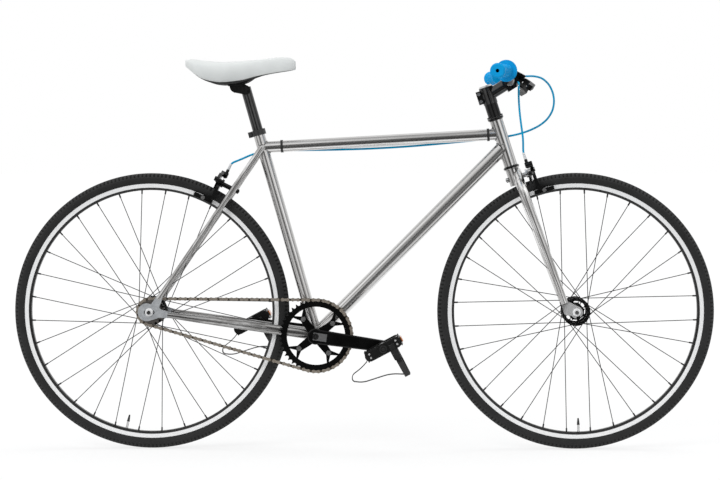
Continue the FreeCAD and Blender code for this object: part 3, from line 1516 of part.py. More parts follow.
def stem():
    """A stem with a pinch clamp on the steerer, a neck and a split clamp on the bar."""
    clamp = size.steerer_diameter + 2 * size.stem_wall
    bar_clamp = size.bar_clamp_diameter + 2 * size.stem_wall
    trunk = cylinder("stem_trunk", clamp, size.stem_height, along(stem_foot, steer))
    neck = cylinder("stem_neck", size.stem_neck, size.stem_length, along(stem_centre, stem_heading))
    half = float(size.stem_clamp_width / 2)
    collar = cylinder("stem_collar", bar_clamp, size.stem_clamp_width, along(bar_centre + RIGHT * half, LEFT))
    ear_foot = stem_foot - ahead * float(clamp / 2 + size.stem_wall / 2) + steer * float(size.stem_wall)
    ears = box("stem_ears", size.stem_wall * 3, size.steerer_diameter * 0.8, size.stem_height - 2 * size.stem_wall,
               axes(ear_foot, ahead, steer))
    steerer = cylinder("stem_bore", size.steerer_diameter, size.stem_height + 2 * size.overrun,
                       along(stem_foot - steer * float(size.overrun), steer))
    bar = cylinder("stem_bar_bore", size.bar_clamp_diameter, size.stem_clamp_width + 2 * size.overrun,
                   along(bar_centre + RIGHT * (half + float(size.overrun)), LEFT))
    slit = box("stem_slit", clamp, size.stem_split, size.stem_height + 2 * size.overrun,
               axes(stem_foot - ahead * float(clamp / 2) - steer * float(size.overrun), ahead, steer))
    front = box("stem_front", bar_clamp * 2, size.stem_clamp_width + 2 * size.overrun, bar_clamp,
                axes(bar_centre + stem_heading * float(size.stem_split / 2), stem_heading.cross(LEFT), stem_heading))
    back = box("stem_back", bar_clamp * 2, size.stem_clamp_width + 2 * size.overrun, bar_clamp,
               axes(bar_centre + stem_heading * float(-size.stem_split / 2), stem_heading.cross(LEFT), -stem_heading))
    bolts = []
    for share in (0.28, 0.72):
        spot = stem_foot - ahead * float(clamp / 2 + size.stem_bolt_head / 2) + steer * float(size.stem_height * share)
        reach = size.steerer_diameter * 0.4
        shank = cylinder("pinch_shank", size.stem_bolt, 2 * reach, along(spot + RIGHT * float(reach), LEFT))
        head = cylinder("pinch_head", size.stem_bolt_head, size.stem_bolt, along(spot + RIGHT * float(reach), RIGHT))
        bolts.append(fuse("pinch_bolt", shank, head))
    plate = size.bar_clamp_diameter / 2 + size.stem_wall
    for across in (-1, 1):
        for rise in (-1, 1):
            spot = bar_centre + LEFT * (across * half * 0.62) \
                + stem_heading.cross(LEFT) * (rise * float(size.bar_clamp_diameter / 2 + size.stem_bolt * 0.5))
            foot = spot - stem_heading * float(plate * 0.8)
            shank = cylinder("face_shank", size.stem_bolt, plate * 1.4, along(foot, stem_heading))
            head = cylinder("face_head", size.stem_bolt_head, size.stem_bolt,
                            along(foot + stem_heading * float(plate * 1.4), stem_heading))
            bolts.append(fuse("face_bolt", shank, head))
    cap_foot = stem_foot + steer * float(size.stem_height)
    cap = cone("top_cap", clamp, clamp * 0.86, size.top_cap_height, along(cap_foot, steer))
    key = hexagon("top_cap_key", size.stem_bolt, size.top_cap_height, axes(cap_foot + steer * float(
        size.top_cap_height / 2), ahead, steer))
    bolts.append(cut("top_cap_screw", cap, key))
    boss_length = plate * 0.8
    bosses = []
    for rise in (-1, 1):
        spot = bar_centre + stem_heading.cross(LEFT) * (rise * float(size.bar_clamp_diameter / 2 + size.stem_bolt * 0.5))
        foot = spot - stem_heading * float(boss_length)
        bosses.append(box("stem_boss", size.stem_bolt_head, size.stem_clamp_width, 2 * boss_length * 0.88,
                          axes(foot, stem_heading.cross(LEFT), stem_heading)))
    shell = fuse("stem_shell", trunk, neck, collar, ears, *bosses)
    hollow = cut("stem_hollow", shell, steerer, bar, slit, *bolts[:6])
    face = fuse("stem_face_blank", collar, *bosses)
    group("stem", [cut("stem_rear", hollow, front), cut("stem_faceplate", face, bar, back, *bolts[2:6])])
    group("stem_bolts", bolts)


def bar_points():
    """Corners of the handlebar's centre line, from the right end to the left end."""
    middle = float(size.bar_middle) / 2
    knee = middle + float(size.bar_riser)
    end = float(size.bar_width) / 2
    back = math.tan(math.radians(float(size.bar_sweep)))
    down = math.tan(math.radians(float(size.bar_droop)))
    half = [Vector(0, middle, 0), Vector(0, knee, float(size.bar_rise)),
            Vector(-(end - knee) * back, end, float(size.bar_rise) - (end - knee) * down)]
    left = [bar_centre + point for point in half]
    right = [bar_centre + Vector(point.x, -point.y, point.z) for point in half]
    return right[::-1] + left


def handlebar():
    """A low riser bar, swept back, with a thicker middle for the stem."""
    points = bar_points()
    bend = float(size.bar_bend)
    path = rounded_path(points, [bend] * (len(points) - 2))
    outer = round_sweep(path, size.bar_diameter)
    inner = round_sweep(path, size.bar_diameter - 2 * size.bar_wall)
    half = float(size.stem_clamp_width / 2)
    bulge = Part.makeCylinder(float(size.bar_clamp_diameter / 2), 2 * half, bar_centre + RIGHT * half, LEFT)
    for way in (RIGHT, LEFT):
        taper = Part.makeCone(float(size.bar_clamp_diameter / 2), float(size.bar_diameter / 2 - size.clearance),
                              float(size.bar_middle / 2) * 0.3, bar_centre + way * half, way)
        bulge = bulge.fuse(taper)
    piece("handlebar", shape("handlebar", outer.fuse(bulge).cut(inner).removeSplitter()))


def grip_frame(side):
    """The end of the bar on one side, with local Z outward along the bar."""
    points = bar_points()
    end, knee = (points[0], points[1]) if side == "right" else (points[-1], points[-2])
    return end, (end - knee).normalize()


def grips():
    """Ribbed grips with a wide inner flange and a rounded end with a small hole."""
    solids = []
    for side in SIDES:
        end, outward = grip_frame(side)
        lap = size.grip_end_length / 3
        body = new_body(f"{side}_grip", axes(end, UP, outward))
        bore = size.bar_diameter / 2
        radius = size.grip_diameter / 2
        flange = size.grip_flange / 2
        start = lap - size.grip_length
        points = [(bore, start), (flange, start), (flange, start + size.grip_flange_height),
                  (radius, start + size.grip_flange_height * 1.5)]
        first = start + size.grip_flange_height * 2
        room = size.grip_length - size.grip_flange_height * 2 - size.grip_end_length * 1.4
        step = room / size.grip_ribs
        for index in range(int(float(size.grip_ribs))):
            low = first + step * index
            points += [(radius, low + step * 0.2), (radius - size.grip_rib, low + step * 0.4),
                       (radius - size.grip_rib, low + step * 0.8), (radius, low + step)]
        cap = size.grip_end / 2
        points += [(cap, lap - size.grip_end_length), (cap, lap - size.grip_end_length / 3), (cap * 0.8, lap),
                   (size.grip_hole / 2, lap), (size.grip_hole / 2, 0), (bore, 0)]
        section = sketch_on(body, "XZ_Plane")
        outline(section, points)
        turned(body, section)
        solids.append(body)
    group("grips", solids)


crown_blank = fork_steerer()
fork_plates = fork_ends()
fork_blades(crown_blank, fork_plates)
headset_top()
stem()
handlebar()
grips()
axle_set("front", front_axle, size.front_hub_width, size.front_axle_diameter, size.fork_end_thickness)


# Seat


clamp_centre = seat_tip + seat_line * float(size.clamp_rise) + seat_behind * float(size.clamp_setback)
rail_centre = clamp_centre + UP * float(size.rail_lift)

# Rails on the rider's left, from the nose to the tail: shares of saddle length ahead of the clamp, of the rail
# spacing to the side, and of the saddle's height above the clamped stretch.
RAIL_SHARES = ((0.46, 0.20, 0.64), (0.33, 0.33, 0.56), (0.21, 0.45, 0.38), (0.085, 0.5, 0), (-0.17, 0.5, 0),
               (-0.30, 0.66, 0.34), (-0.335, 0.70, 0.52))

# Saddle sections from tail to nose: shares of the length along it, of the half width, and of the height to the
# crown, the skirt's edge and the vault of the underside.
SADDLE_SHARES = ((0, 0.55, 0.87, 0.73, 0.75), (0.05, 0.86, 0.905, 0.53, 0.57), (0.16, 1, 0.85, 0.2, 0.49),
                 (0.33, 0.9, 0.8, 0.015, 0.44), (0.515, 0.57, 0.83, 0.1, 0.47), (0.7, 0.34, 0.9, 0.36, 0.54),
                 (0.87, 0.27, 0.975, 0.49, 0.61), (0.96, 0.23, 0.95, 0.55, 0.6), (1, 0.13, 0.8, 0.6, 0.63))


def saddle_rails():
    rails = []
    for side, outward in SIDES.items():
        points = [rail_centre + FORWARD * (x * float(size.saddle_length)) + outward * (y * float(size.rail_spacing))
                  + UP * (z * float(size.saddle_height)) for x, y, z in RAIL_SHARES]
        rails.append(shape(f"{side}_rail", round_sweep(rounded_path(points, loose_radii(points)), size.rail_diameter)))
    group("saddle_rails", rails)
    return rails


def seatpost(rails):
    """A hollow post with a set-back head, and the two plates and the bolt that clamp the rails."""
    body = new_body("seatpost_tube", axes(seat_tip, seat_behind, seat_line))
    post = sketch_on(body, lift=-size.seatpost_insertion)
    circle(post, 0, 0, size.seatpost_diameter)
    pad(body, post, size.seatpost_insertion + size.seatpost_rise)
    neck = sketch_on(body, "XZ_Plane")
    capsule(neck, (0, size.seatpost_rise - size.seatpost_diameter / 4, size.seatpost_diameter * 0.9),
            (size.clamp_setback, size.clamp_rise, size.clamp_barrel))
    pad(body, neck, size.rail_spacing - size.rail_diameter - size.clamp_plate, symmetric=True)
    bore = sketch_on(body, lift=size.seatpost_rise - size.seatpost_diameter)
    circle(bore, 0, 0, size.seatpost_diameter - 2 * size.seatpost_wall)
    pocket(body, bore, size.seatpost_insertion + size.seatpost_rise)
    width = size.rail_spacing + 2 * size.rail_diameter
    lower = box("rail_cradle_blank", size.clamp_length, width, size.clamp_plate,
                axes(rail_centre - UP * float(size.clamp_plate + size.clearance), FORWARD, UP))
    upper = box("rail_cap_blank", size.clamp_length, width, size.clamp_plate,
                axes(rail_centre + UP * float(size.clearance), FORWARD, UP))
    length = size.rail_lift + 2 * size.clamp_plate + size.clamp_barrel / 2 - 1.5 * size.clamp_bolt
    bolt_foot = clamp_centre - UP * float(size.clamp_barrel / 2 - size.clamp_bolt)
    shank = cylinder("saddle_bolt_shank", size.clamp_bolt, length, along(bolt_foot, UP))
    head = cylinder("saddle_bolt_head", size.clamp_bolt * 1.7, size.clamp_bolt, along(bolt_foot, -UP))
    head_seat = cylinder("saddle_bolt_seat", size.clamp_bolt * 1.9, size.clamp_bolt * 3, along(bolt_foot, -UP))
    bolt = fuse("saddle_bolt", shank, head)
    room = box("rail_room", size.clamp_length, width, 3 * size.clamp_plate, lower.Placement.multiply(
        FreeCAD.Placement(Vector(float(size.clamp_length) / 2, float(width) / 2, 0), FreeCAD.Rotation())))
    cradle = cut("rail_cradle", lower, *rails, bolt)
    head_block = cut("seatpost_head", body, room, bolt, head_seat)
    cap = cut("rail_cap", upper, *rails, bolt)
    group("seatpost", [head_block, cradle, cap, bolt])


def saddle_section(body, along_share, wide, crown, skirt, vault, drop, depth):
    """One arched section across the saddle; a drop and a depth give the base's section below it instead."""
    half = size.saddle_width / 2 * wide
    low = size.saddle_height * skirt
    top = size.saddle_height * crown
    roof = size.saddle_height * vault
    edge = half * 0.92
    section = sketch_on(body, "YZ_Plane", lift=size.saddle_length * along_share)
    if depth is None:
        rise = top - low
        shoulder = half * 0.7
        brow = top - rise * 0.1
        outline(section, [(shoulder, brow, half, low + rise * 0.5), (-shoulder, brow, 0, top),
                          (-edge, low, -half, low + rise * 0.5), (edge, low, 0, roof)])
    else:
        outline(section, [(edge, low - drop), (-edge, low - drop, 0, roof - drop),
                          (-edge + depth, low - drop - depth),
                          (edge - depth, low - drop - depth, 0, roof - drop - depth)])
    return section


def saddle_loft(label, rails, drop, depth):
    tail = rail_centre - FORWARD * float(size.saddle_setback)
    body = new_body(f"{label}_blank", axes(tail, FORWARD, UP))
    sections = [saddle_section(body, *shares, drop, depth) for shares in SADDLE_SHARES]
    loft = body.newObject("PartDesign::AdditiveLoft", f"{label}_loft")
    loft.Profile = sections[0]
    loft.Sections = sections[1:]
    piece(label, cut(label, body, *rails))


saddle_rods = saddle_rails()
seatpost(saddle_rods)
saddle_loft("saddle", saddle_rods, 0, None)
saddle_loft("saddle_base", saddle_rods, size.clearance, size.saddle_base)


# Pedals, each in its own frame: local X towards the toe, local Z outward along the spindle from the crank's face


# The toe clip's strip from its foot on the front cage: shares of its reach forward and of its rise from the sole.
CLIP_SHARES = ((0, -0.08), (0, 0.11), (0.42, 0.22), (0.87, 0.27), (1, 0.44), (0.62, 0.62), (-0.57, 0.77), (-1.14, 1))


def pedal_frame(side):
    outward = SIDES[side]
    heading = drive_line if side == "right" else -drive_line
    eye = bracket + heading * float(size.crank_length) + outward * float(size.crank_offset + size.crank_thickness)
    return axes(eye, in_plane(size.pedal_angle), outward)


def direction(frame, x, y, z):
    return frame.Rotation.multVec(Vector(x, y, z))


def pedal_spindle(side):
    frame = pedal_frame(side)
    outward = SIDES[side]
    eye = frame.Base
    collar = size.pedal_gap - 2 * size.clearance
    thread = cylinder(f"{side}_pedal_thread", size.pedal_thread, size.crank_thickness, along(eye, -outward))
    flange = cylinder(f"{side}_pedal_flange", size.pedal_thread * 1.2, collar, along(eye, outward))
    rod = cylinder(f"{side}_pedal_rod", size.pedal_spindle,
                   size.pedal_gap + size.pedal_width - 2 * size.pedal_plate - size.clearance, along(eye, outward))
    return fuse(f"{side}_pedal_spindle", thread, flange, rod)


def pedal_body(side):
    """The barrel, the two end plates with their strap slots and the two walls that carry the cages."""
    body = new_body(f"{side}_pedal_body", pedal_frame(side))
    near = size.pedal_gap
    far = near + size.pedal_width
    half = size.pedal_length / 2
    end = size.pedal_height
    barrel = sketch_on(body, lift=near)
    circle(barrel, 0, 0, size.pedal_barrel)
    pad(body, barrel, size.pedal_width)
    for low in (near, far - size.pedal_plate):
        plate = sketch_on(body, lift=low)
        capsule(plate, (end / 2 - half, 0, end), (half - end / 2, 0, end))
        pad(body, plate, size.pedal_plate)
    wall = size.pedal_height / 2 - size.pedal_plate / 2
    for inner, outer in ((half - 4 * size.pedal_cage, half - 2 * size.pedal_cage),
                         (2 * size.pedal_cage - half, 4 * size.pedal_cage - half)):
        web = sketch_on(body, lift=near)
        outline(web, [(inner, -wall), (outer, -wall), (outer, wall), (inner, wall)])
        pad(body, web, size.pedal_width)
    rib = sketch_on(body, "XZ_Plane")
    outline(rib, [(2 * size.pedal_cage - half, near + size.pedal_width / 2 - size.pedal_plate / 2),
                  (half - 2 * size.pedal_cage, near + size.pedal_width / 2 - size.pedal_plate / 2),
                  (half - 2 * size.pedal_cage, near + size.pedal_width / 2 + size.pedal_plate / 2),
                  (2 * size.pedal_cage - half, near + size.pedal_width / 2 + size.pedal_plate / 2)])
    pad(body, rib, size.pedal_height / 2, symmetric=True)
    cap = sketch_on(body, lift=far)
    circle(cap, 0, 0, size.pedal_cap)
    pad(body, cap, size.pedal_plate * 0.4)
    bore = sketch_on(body, lift=far - 2 * size.pedal_plate)
    circle(bore, 0, 0, size.pedal_spindle + 2 * size.running_fit)
    pocket(body, bore, size.pedal_width)
    slot = sketch_on(body)
    left = -size.strap_setback - size.strap_width / 2 - size.clearance
    right = -size.strap_setback + size.strap_width / 2 + size.clearance
    depth = size.strap_thickness / 2 + size.clearance
    outline(slot, [(left, -depth), (right, -depth), (right, depth), (left, depth)])
    pocket(body, slot)
    return body


def pedal_cage(side, way):
    """A toothed plate across the front or the rear of the pedal."""
    body = new_body(f"{side}_pedal_{way}_cage", pedal_frame(side))
    half = size.pedal_length / 2
    low = size.pedal_gap + size.pedal_plate
    room = size.pedal_width - 2 * size.pedal_plate
    edge = size.pedal_cage_height / 2
    step = room / size.pedal_teeth
    lift = half - 2 * size.pedal_cage if way == "front" else size.pedal_cage - half
    plate = sketch_on(body, "YZ_Plane", lift=lift)
    points = [(-edge, low)]
    for index in range(int(float(size.pedal_teeth))):
        points += [(-edge - size.pedal_tooth, low + step * (index + 0.5)), (-edge, low + step * (index + 1))]
    points.append((edge, low + room))
    for index in range(int(float(size.pedal_teeth))):
        points += [(edge + size.pedal_tooth, low + room - step * (index + 0.5)),
                   (edge, low + room - step * (index + 1))]
    outline(plate, points)
    pad(body, plate, size.pedal_cage)
    return body


def toe_clip(side):
    """A bent strip over the toe, a strap round the foot and the strap's buckle."""
    frame = pedal_frame(side)
    sole = 1 if side == "right" else -1
    face = size.pedal_length / 2 - size.pedal_cage
    middle = size.pedal_gap + size.pedal_width / 2
    points = [Vector(float(face + size.clip_thickness / 2 + size.clip_reach * x), sole * float(size.clip_rise) * y,
                     float(middle)) for x, y in CLIP_SHARES]
    path = rounded_path(points, loose_radii(points))
    half = float(size.clip_width) / 2
    thick = float(size.clip_thickness) / 2
    corners = [points[0] + Vector(x * thick, 0, z * half) for x, z in ((-1, -1), (1, -1), (1, 1), (-1, 1), (-1, -1))]
    strip = shape(f"{side}_clip_strip", path.makePipeShell([Part.makePolygon(corners)], True, False))
    strip.Placement = frame
    strap = new_body(f"{side}_strap", frame)
    near = size.pedal_gap - size.clearance
    far = size.pedal_gap + size.pedal_width + size.clearance
    skin = size.strap_thickness
    lean = size.pedal_width * 0.27
    band = sketch_on(strap, "YZ_Plane", lift=-size.strap_setback)
    outline(band, [(-sole * skin / 2, near - skin), (-sole * skin / 2, far + skin),
                   (sole * (size.strap_rise * 0.55 + skin * 0.4), far + skin),
                   (sole * (size.strap_rise + skin), middle + lean + skin / 2),
                   (sole * (size.strap_rise + skin), middle - lean - skin / 2),
                   (sole * (size.strap_rise * 0.55 + skin * 0.4), near - skin)])
    outline(band, [(sole * skin / 2, near), (sole * skin / 2, far), (sole * size.strap_rise * 0.55, far),
                   (sole * size.strap_rise, middle + lean), (sole * size.strap_rise, middle - lean),
                   (sole * size.strap_rise * 0.55, near)])
    pad(strap, band, size.strap_width, symmetric=True)
    seat = Vector(-float(size.strap_setback), sole * float(size.strap_rise) * 0.3, float(far + skin))
    buckle = box(f"{side}_buckle", size.buckle_length, size.strap_width * 1.3, size.buckle_thickness,
                 axes(frame.multVec(seat), direction(frame, 0, 1, 0), direction(frame, 0, 0, 1)))
    group(f"{side}_toe_clip", [strip, strap, buckle])


def pedal(side):
    frame = pedal_frame(side)
    middle = float(size.pedal_gap + size.pedal_width / 2)
    rear = frame.multVec(Vector(float(size.pedal_cage - size.pedal_length / 2), 0, middle))
    reflector = box(f"{side}_reflector", size.reflector_width, size.reflector_height, size.reflector_thickness,
                    axes(rear, direction(frame, 0, 0, 1), direction(frame, -1, 0, 0)))
    group(f"{side}_pedal", [pedal_body(side), pedal_cage(side, "front"), pedal_cage(side, "rear"), reflector])
    toe_clip(side)


group("pedal_spindles", [pedal_spindle(side) for side in SIDES])
for pedal_side in SIDES:
    pedal(pedal_side)


# Brake calipers, each in its own frame: local X across, local Y up, local Z out along the bolt


caliper_span = size.rim_width / 2 + size.shoe_gap + size.shoe_thickness + size.shoe_holder + size.shoe_boss / 2
side_pivot = (caliper_span * 0.62, size.caliper_reach * 0.12)
barrel_rise = size.caliper_reach * 0.44
barrel_top = barrel_rise + size.caliper_nut * 0.7 + size.barrel_length * 0.35
back_layer = -size.caliper_arm - size.clearance
wire_layer = -size.caliper_arm / 2 - size.clearance


def front_caliper_frame():
    return axes(in_fork(float(size.caliper_offset), 0, -brake_drop), steer.cross(ahead), ahead)


def strut(body, lift, thickness, *discs):
    """A flat arm whose outline runs round a chain of discs (x, y, diameter)."""
    for start, end in zip(discs, discs[1:]):
        link = sketch_on(body, lift=lift)
        capsule(link, start, end)
        pad(body, link, thickness)


def shoe_boss(body, across, layer):
    """The foot of an arm, carried out to the shoe and drilled for its stud."""
    foot = sketch_on(body, "YZ_Plane", lift=across * caliper_span - size.shoe_boss / 2)
    capsule(foot, (-size.caliper_reach * 0.8, layer, size.caliper_arm), (-size.caliper_reach, size.caliper_lead,
                                                                         size.caliper_nut))
    pad(body, foot, size.shoe_boss)
    hole = sketch_on(body, "YZ_Plane")
    circle(hole, -size.caliper_reach, size.caliper_lead, size.shoe_stud)
    pocket(body, hole)


def shoe(prefix, frame, axle, across):
    """A brake block in its holder, square to the wheel's radius, with its stud and nut."""
    seat = size.rim_width / 2 + size.shoe_gap
    outward = direction(frame, across, 0, 0)
    foot = frame.multVec(Vector(0, -float(size.caliper_reach), float(size.caliper_lead)))
    radial = (foot - axle).normalize()
    tangent = radial.cross(outward)
    block = box(f"{prefix}_block", size.shoe_length, size.shoe_height, size.shoe_thickness,
                axes(foot + outward * float(seat), tangent, outward))
    inner = seat + size.shoe_thickness
    holder = box(f"{prefix}_holder", size.shoe_length, size.shoe_height, size.shoe_holder,
                 axes(foot + outward * float(inner), tangent, outward))
    inner = inner + size.shoe_holder
    stud = cylinder(f"{prefix}_stud", size.shoe_stud, size.shoe_boss + size.shoe_stud,
                    along(foot + outward * float(inner), outward))
    nut = hexagon(f"{prefix}_nut", size.shoe_nut, size.shoe_stud,
                  axes(foot + outward * float(inner + size.shoe_boss), tangent, outward))
    return [block, holder, fuse(f"{prefix}_bolt", stud, nut)]


def centre_arm(prefix, frame, axle):
    """The arm on the centre bolt: a leg on one side and, on the other, the anchor for the inner wire."""
    body = new_body(f"{prefix}_centre_arm_plate", frame)
    hub = size.caliper_nut * 1.5
    limb = size.caliper_nut
    strut(body, back_layer, size.caliper_arm, (0, 0, hub), (caliper_span * 0.83, -size.caliper_reach * 0.24, limb * 1.1),
          (caliper_span, -size.caliper_reach * 0.8, limb * 0.9))
    strut(body, back_layer, size.caliper_arm, (0, 0, hub), (-size.caliper_cable, 0, limb))
    shoe_boss(body, 1, wire_layer)
    pivot = sketch_on(body)
    circle(pivot, 0, 0, size.caliper_bolt + 2 * size.running_fit)
    pocket(body, pivot)
    wire_hole = sketch_on(body, "XZ_Plane")
    circle(wire_hole, -size.caliper_cable, wire_layer, size.wire_diameter)
    pocket(body, wire_hole)
    up = direction(frame, 0, 1, 0)
    out = direction(frame, 0, 0, 1)
    foot = frame.multVec(Vector(-float(size.caliper_cable), -float(size.caliper_reach) * 0.4, float(wire_layer)))
    wire = cylinder(f"{prefix}_inner_wire", size.wire_diameter, size.caliper_reach * 0.4 + barrel_rise, along(foot, up))
    anchor = hexagon(f"{prefix}_anchor", size.shoe_nut, size.shoe_stud,
                     axes(frame.multVec(Vector(-float(size.caliper_cable), 0, -float(size.clearance))), up, out))
    group(f"{prefix}_centre_arm", [body, wire, anchor] + shoe(f"{prefix}_centre", frame, axle, 1))


def side_arm(prefix, frame, axle):
    """The arm on the side pivot, reaching over to the other shoe and to the barrel that stops the housing."""
    body = new_body(f"{prefix}_side_arm_plate", frame)
    limb = size.caliper_nut
    span = caliper_span
    reach = size.caliper_reach
    strut(body, size.clearance, size.caliper_arm, (*side_pivot, limb * 1.2), (0, reach * 0.34, limb),
          (-span * 0.72, reach * 0.27, limb), (-span * 1.06, -reach * 0.22, limb * 1.05), (-span, -reach * 0.8, limb * 0.9))
    strut(body, size.clearance, size.caliper_arm, (-span * 0.72, reach * 0.27, limb),
          (-size.caliper_cable, barrel_rise, limb))
    boss = sketch_on(body, lift=back_layer - size.barrel_diameter / 4)
    circle(boss, -size.caliper_cable, barrel_rise, limb * 1.15)
    pad(body, boss, 2 * size.caliper_arm + 2 * size.clearance + size.barrel_diameter / 4)
    shoe_boss(body, -1, size.caliper_arm / 2 + size.clearance)
    pivot = sketch_on(body)
    circle(pivot, *side_pivot, size.caliper_bolt + 2 * size.running_fit)
    pocket(body, pivot)
    seat = sketch_on(body, "XZ_Plane")
    circle(seat, -size.caliper_cable, wire_layer, size.barrel_diameter)
    pocket(body, seat)
    foot = frame.multVec(Vector(-float(size.caliper_cable), float(barrel_rise - limb * 0.7), float(wire_layer)))
    barrel = ring(f"{prefix}_barrel", size.barrel_diameter, size.barrel_diameter * 0.65,
                  barrel_top - barrel_rise + limb * 0.7, along(foot, direction(frame, 0, 1, 0)))
    group(f"{prefix}_side_arm", [body, barrel] + shoe(f"{prefix}_side", frame, axle, -1))


def brake_bolt(prefix, frame, seat):
    """The centre bolt with its nuts and spacer, and the plate that holds the side pivot; the seat is the radius
    of the frame member that the bolt goes through."""
    out = direction(frame, 0, 0, 1)

    def at(x, y, z):
        return frame.multVec(Vector(float(x), float(y), float(z)))

    plate_front = back_layer - size.clearance
    plate_back = plate_front - size.caliper_arm / 2
    body = new_body(f"{prefix}_pivot_plate", frame)
    strut(body, plate_back, size.caliper_arm / 2, (0, 0, size.caliper_nut * 1.5), (*side_pivot, size.caliper_nut * 1.1))
    for x, y in ((0, 0), side_pivot):
        hole = sketch_on(body)
        circle(hole, x, y, size.caliper_bolt)
        pocket(body, hole)
    tail = -size.caliper_offset - seat
    rod = cylinder(f"{prefix}_bolt_rod", size.caliper_bolt, size.caliper_arm - tail + size.caliper_nut * 0.6,
                   along(at(0, 0, tail - size.caliper_nut * 0.6), out))
    front = ring(f"{prefix}_bolt_nut", size.caliper_nut, size.caliper_bolt, size.caliper_arm * 0.8, along(at(0, 0, 0), out))
    back = ring(f"{prefix}_bolt_tail", size.caliper_nut, size.caliper_bolt, size.caliper_nut * 0.5,
                along(at(0, 0, tail), -out))
    spacer_foot = seat - size.caliper_offset
    spacer = ring(f"{prefix}_bolt_spacer", size.caliper_nut, size.caliper_bolt, plate_back - spacer_foot,
                  along(at(0, 0, spacer_foot), out))
    reach = size.caliper_arm + 2 * size.clearance
    pin = cylinder(f"{prefix}_side_pin", size.caliper_bolt, reach - plate_back, along(at(*side_pivot, plate_back), out))
    bush = ring(f"{prefix}_side_bush", size.caliper_bolt * 1.5, size.caliper_bolt, -plate_front,
                along(at(*side_pivot, plate_front), out))
    head = cylinder(f"{prefix}_side_pin_head", size.caliper_nut, size.caliper_arm / 2, along(at(*side_pivot, reach), out))
    group(f"{prefix}_brake_bolt", [body, rod, front, back, spacer, bush, fuse(f"{prefix}_side_pivot", pin, head)])


rear_caliper = rear_caliper_frame()[1]
front_caliper = front_caliper_frame()
for brake_prefix, brake_frame, brake_axle, brake_seat in (
        ("front", front_caliper, front_axle, size.crown_diameter / 2),
        ("rear", rear_caliper, rear_axle, size.bridge_diameter / 2)):
    brake_bolt(brake_prefix, brake_frame, brake_seat)
    centre_arm(brake_prefix, brake_frame, brake_axle)
    side_arm(brake_prefix, brake_frame, brake_axle)


# Brake levers, each in its own frame: local X outward along the bar, local Y towards the lever


barrel_reach = size.pivot_reach * 0.72
barrel_root = size.pivot_inset + size.perch_width / 2


def lever_frame(side):
    end, outward = grip_frame(side)
    level = in_plane(-size.lever_pitch)
    reach = (level - outward * level.dot(outward)).normalize()
    inboard = size.grip_length - size.grip_end_length / 3 + size.perch_setback
    return axes(end - outward * float(inboard), outward, outward.cross(reach))


def lever_perch(side):
    """A clamp on the bar with a forked arm for the lever, its pin and the barrel that stops the housing."""
    frame = lever_frame(side)
    outward = direction(frame, 1, 0, 0)
    collar = size.bar_diameter + 2 * size.perch_wall
    start = frame.Base - outward * float(size.perch_width / 2)
    sleeve = cylinder(f"{side}_perch_sleeve", collar, size.perch_width, along(start, outward))
    arm = new_body(f"{side}_perch_arm", frame)
    strut(arm, -size.perch_height / 2, size.perch_height, (0, collar / 2, size.perch_width * 0.9),
          (-size.pivot_inset, size.pivot_reach, size.perch_width * 0.9))
    root = frame.multVec(Vector(-float(size.pivot_inset), float(barrel_reach), 0))
    boss = cylinder(f"{side}_perch_boss", size.barrel_diameter * 1.5, size.perch_width / 2, along(root, -outward))
    bar = cylinder(f"{side}_perch_bar", size.bar_diameter, 2 * size.perch_width,
                   along(frame.Base - outward * float(size.perch_width), outward))
    fork = new_body(f"{side}_perch_fork", frame)
    gap = size.lever_thickness * 0.6 + 2 * size.clearance
    strut(fork, -gap / 2, gap, (-size.pivot_inset, size.pivot_reach, size.lever_width * 1.6),
          (size.pivot_inset, size.pivot_reach + 2 * size.pivot_inset, size.lever_width * 1.6))
    foot = frame.multVec(Vector(-float(size.pivot_inset), float(size.pivot_reach), -float(size.perch_height / 2)))
    pin = cylinder(f"{side}_lever_pin", size.pivot_diameter, size.perch_height, along(foot, direction(frame, 0, 0, 1)))
    wire_bore = cylinder(f"{side}_perch_bore", size.barrel_diameter * 0.65, size.perch_width, along(root, -outward))
    perch = cut(f"{side}_perch", fuse(f"{side}_perch_blank", sleeve, arm, boss), bar, fork, pin, wire_bore)
    tip = frame.multVec(Vector(-float(barrel_root), float(barrel_reach), 0))
    barrel = ring(f"{side}_lever_barrel", size.barrel_diameter, size.housing_diameter, size.barrel_length,
                  along(tip, -outward))
    return [perch, pin, barrel]


def brake_lever(side):
    """A blade that stands off its pivot and runs outward in front of the grip to a rounded tip."""
    body = new_body(f"{side}_brake_lever", lever_frame(side))
    root = size.lever_thickness * 0.6
    pivot = (-size.pivot_inset, size.pivot_reach)
    knee = (size.lever_length * 0.02, size.lever_reach * 0.68)
    shoulder = (size.lever_length * 0.24, size.lever_reach * 0.92)
    tip = (size.lever_length - size.pivot_inset, size.lever_reach)
    strut(body, -root / 2, root, (*pivot, size.lever_width), (*knee, size.lever_width))
    strut(body, -size.lever_thickness / 2, size.lever_thickness, (*knee, size.lever_width),
          (*shoulder, size.lever_width), (*tip, size.lever_width * 0.8))
    knob = sketch_on(body, lift=-size.lever_thickness / 2)
    circle(knob, *tip, size.lever_width * 0.95)
    pad(body, knob, size.lever_thickness)
    hole = sketch_on(body)
    circle(hole, *pivot, size.pivot_diameter + 2 * size.running_fit)
    pocket(body, hole)
    piece(f"{side}_brake_lever", body)


group("lever_perches", [solid for side in SIDES for solid in lever_perch(side)])
for lever_side in SIDES:
    brake_lever(lever_side)


# Brake housings, straight runs joined by tangent arcs, and the bands that tie one of them to the top tube


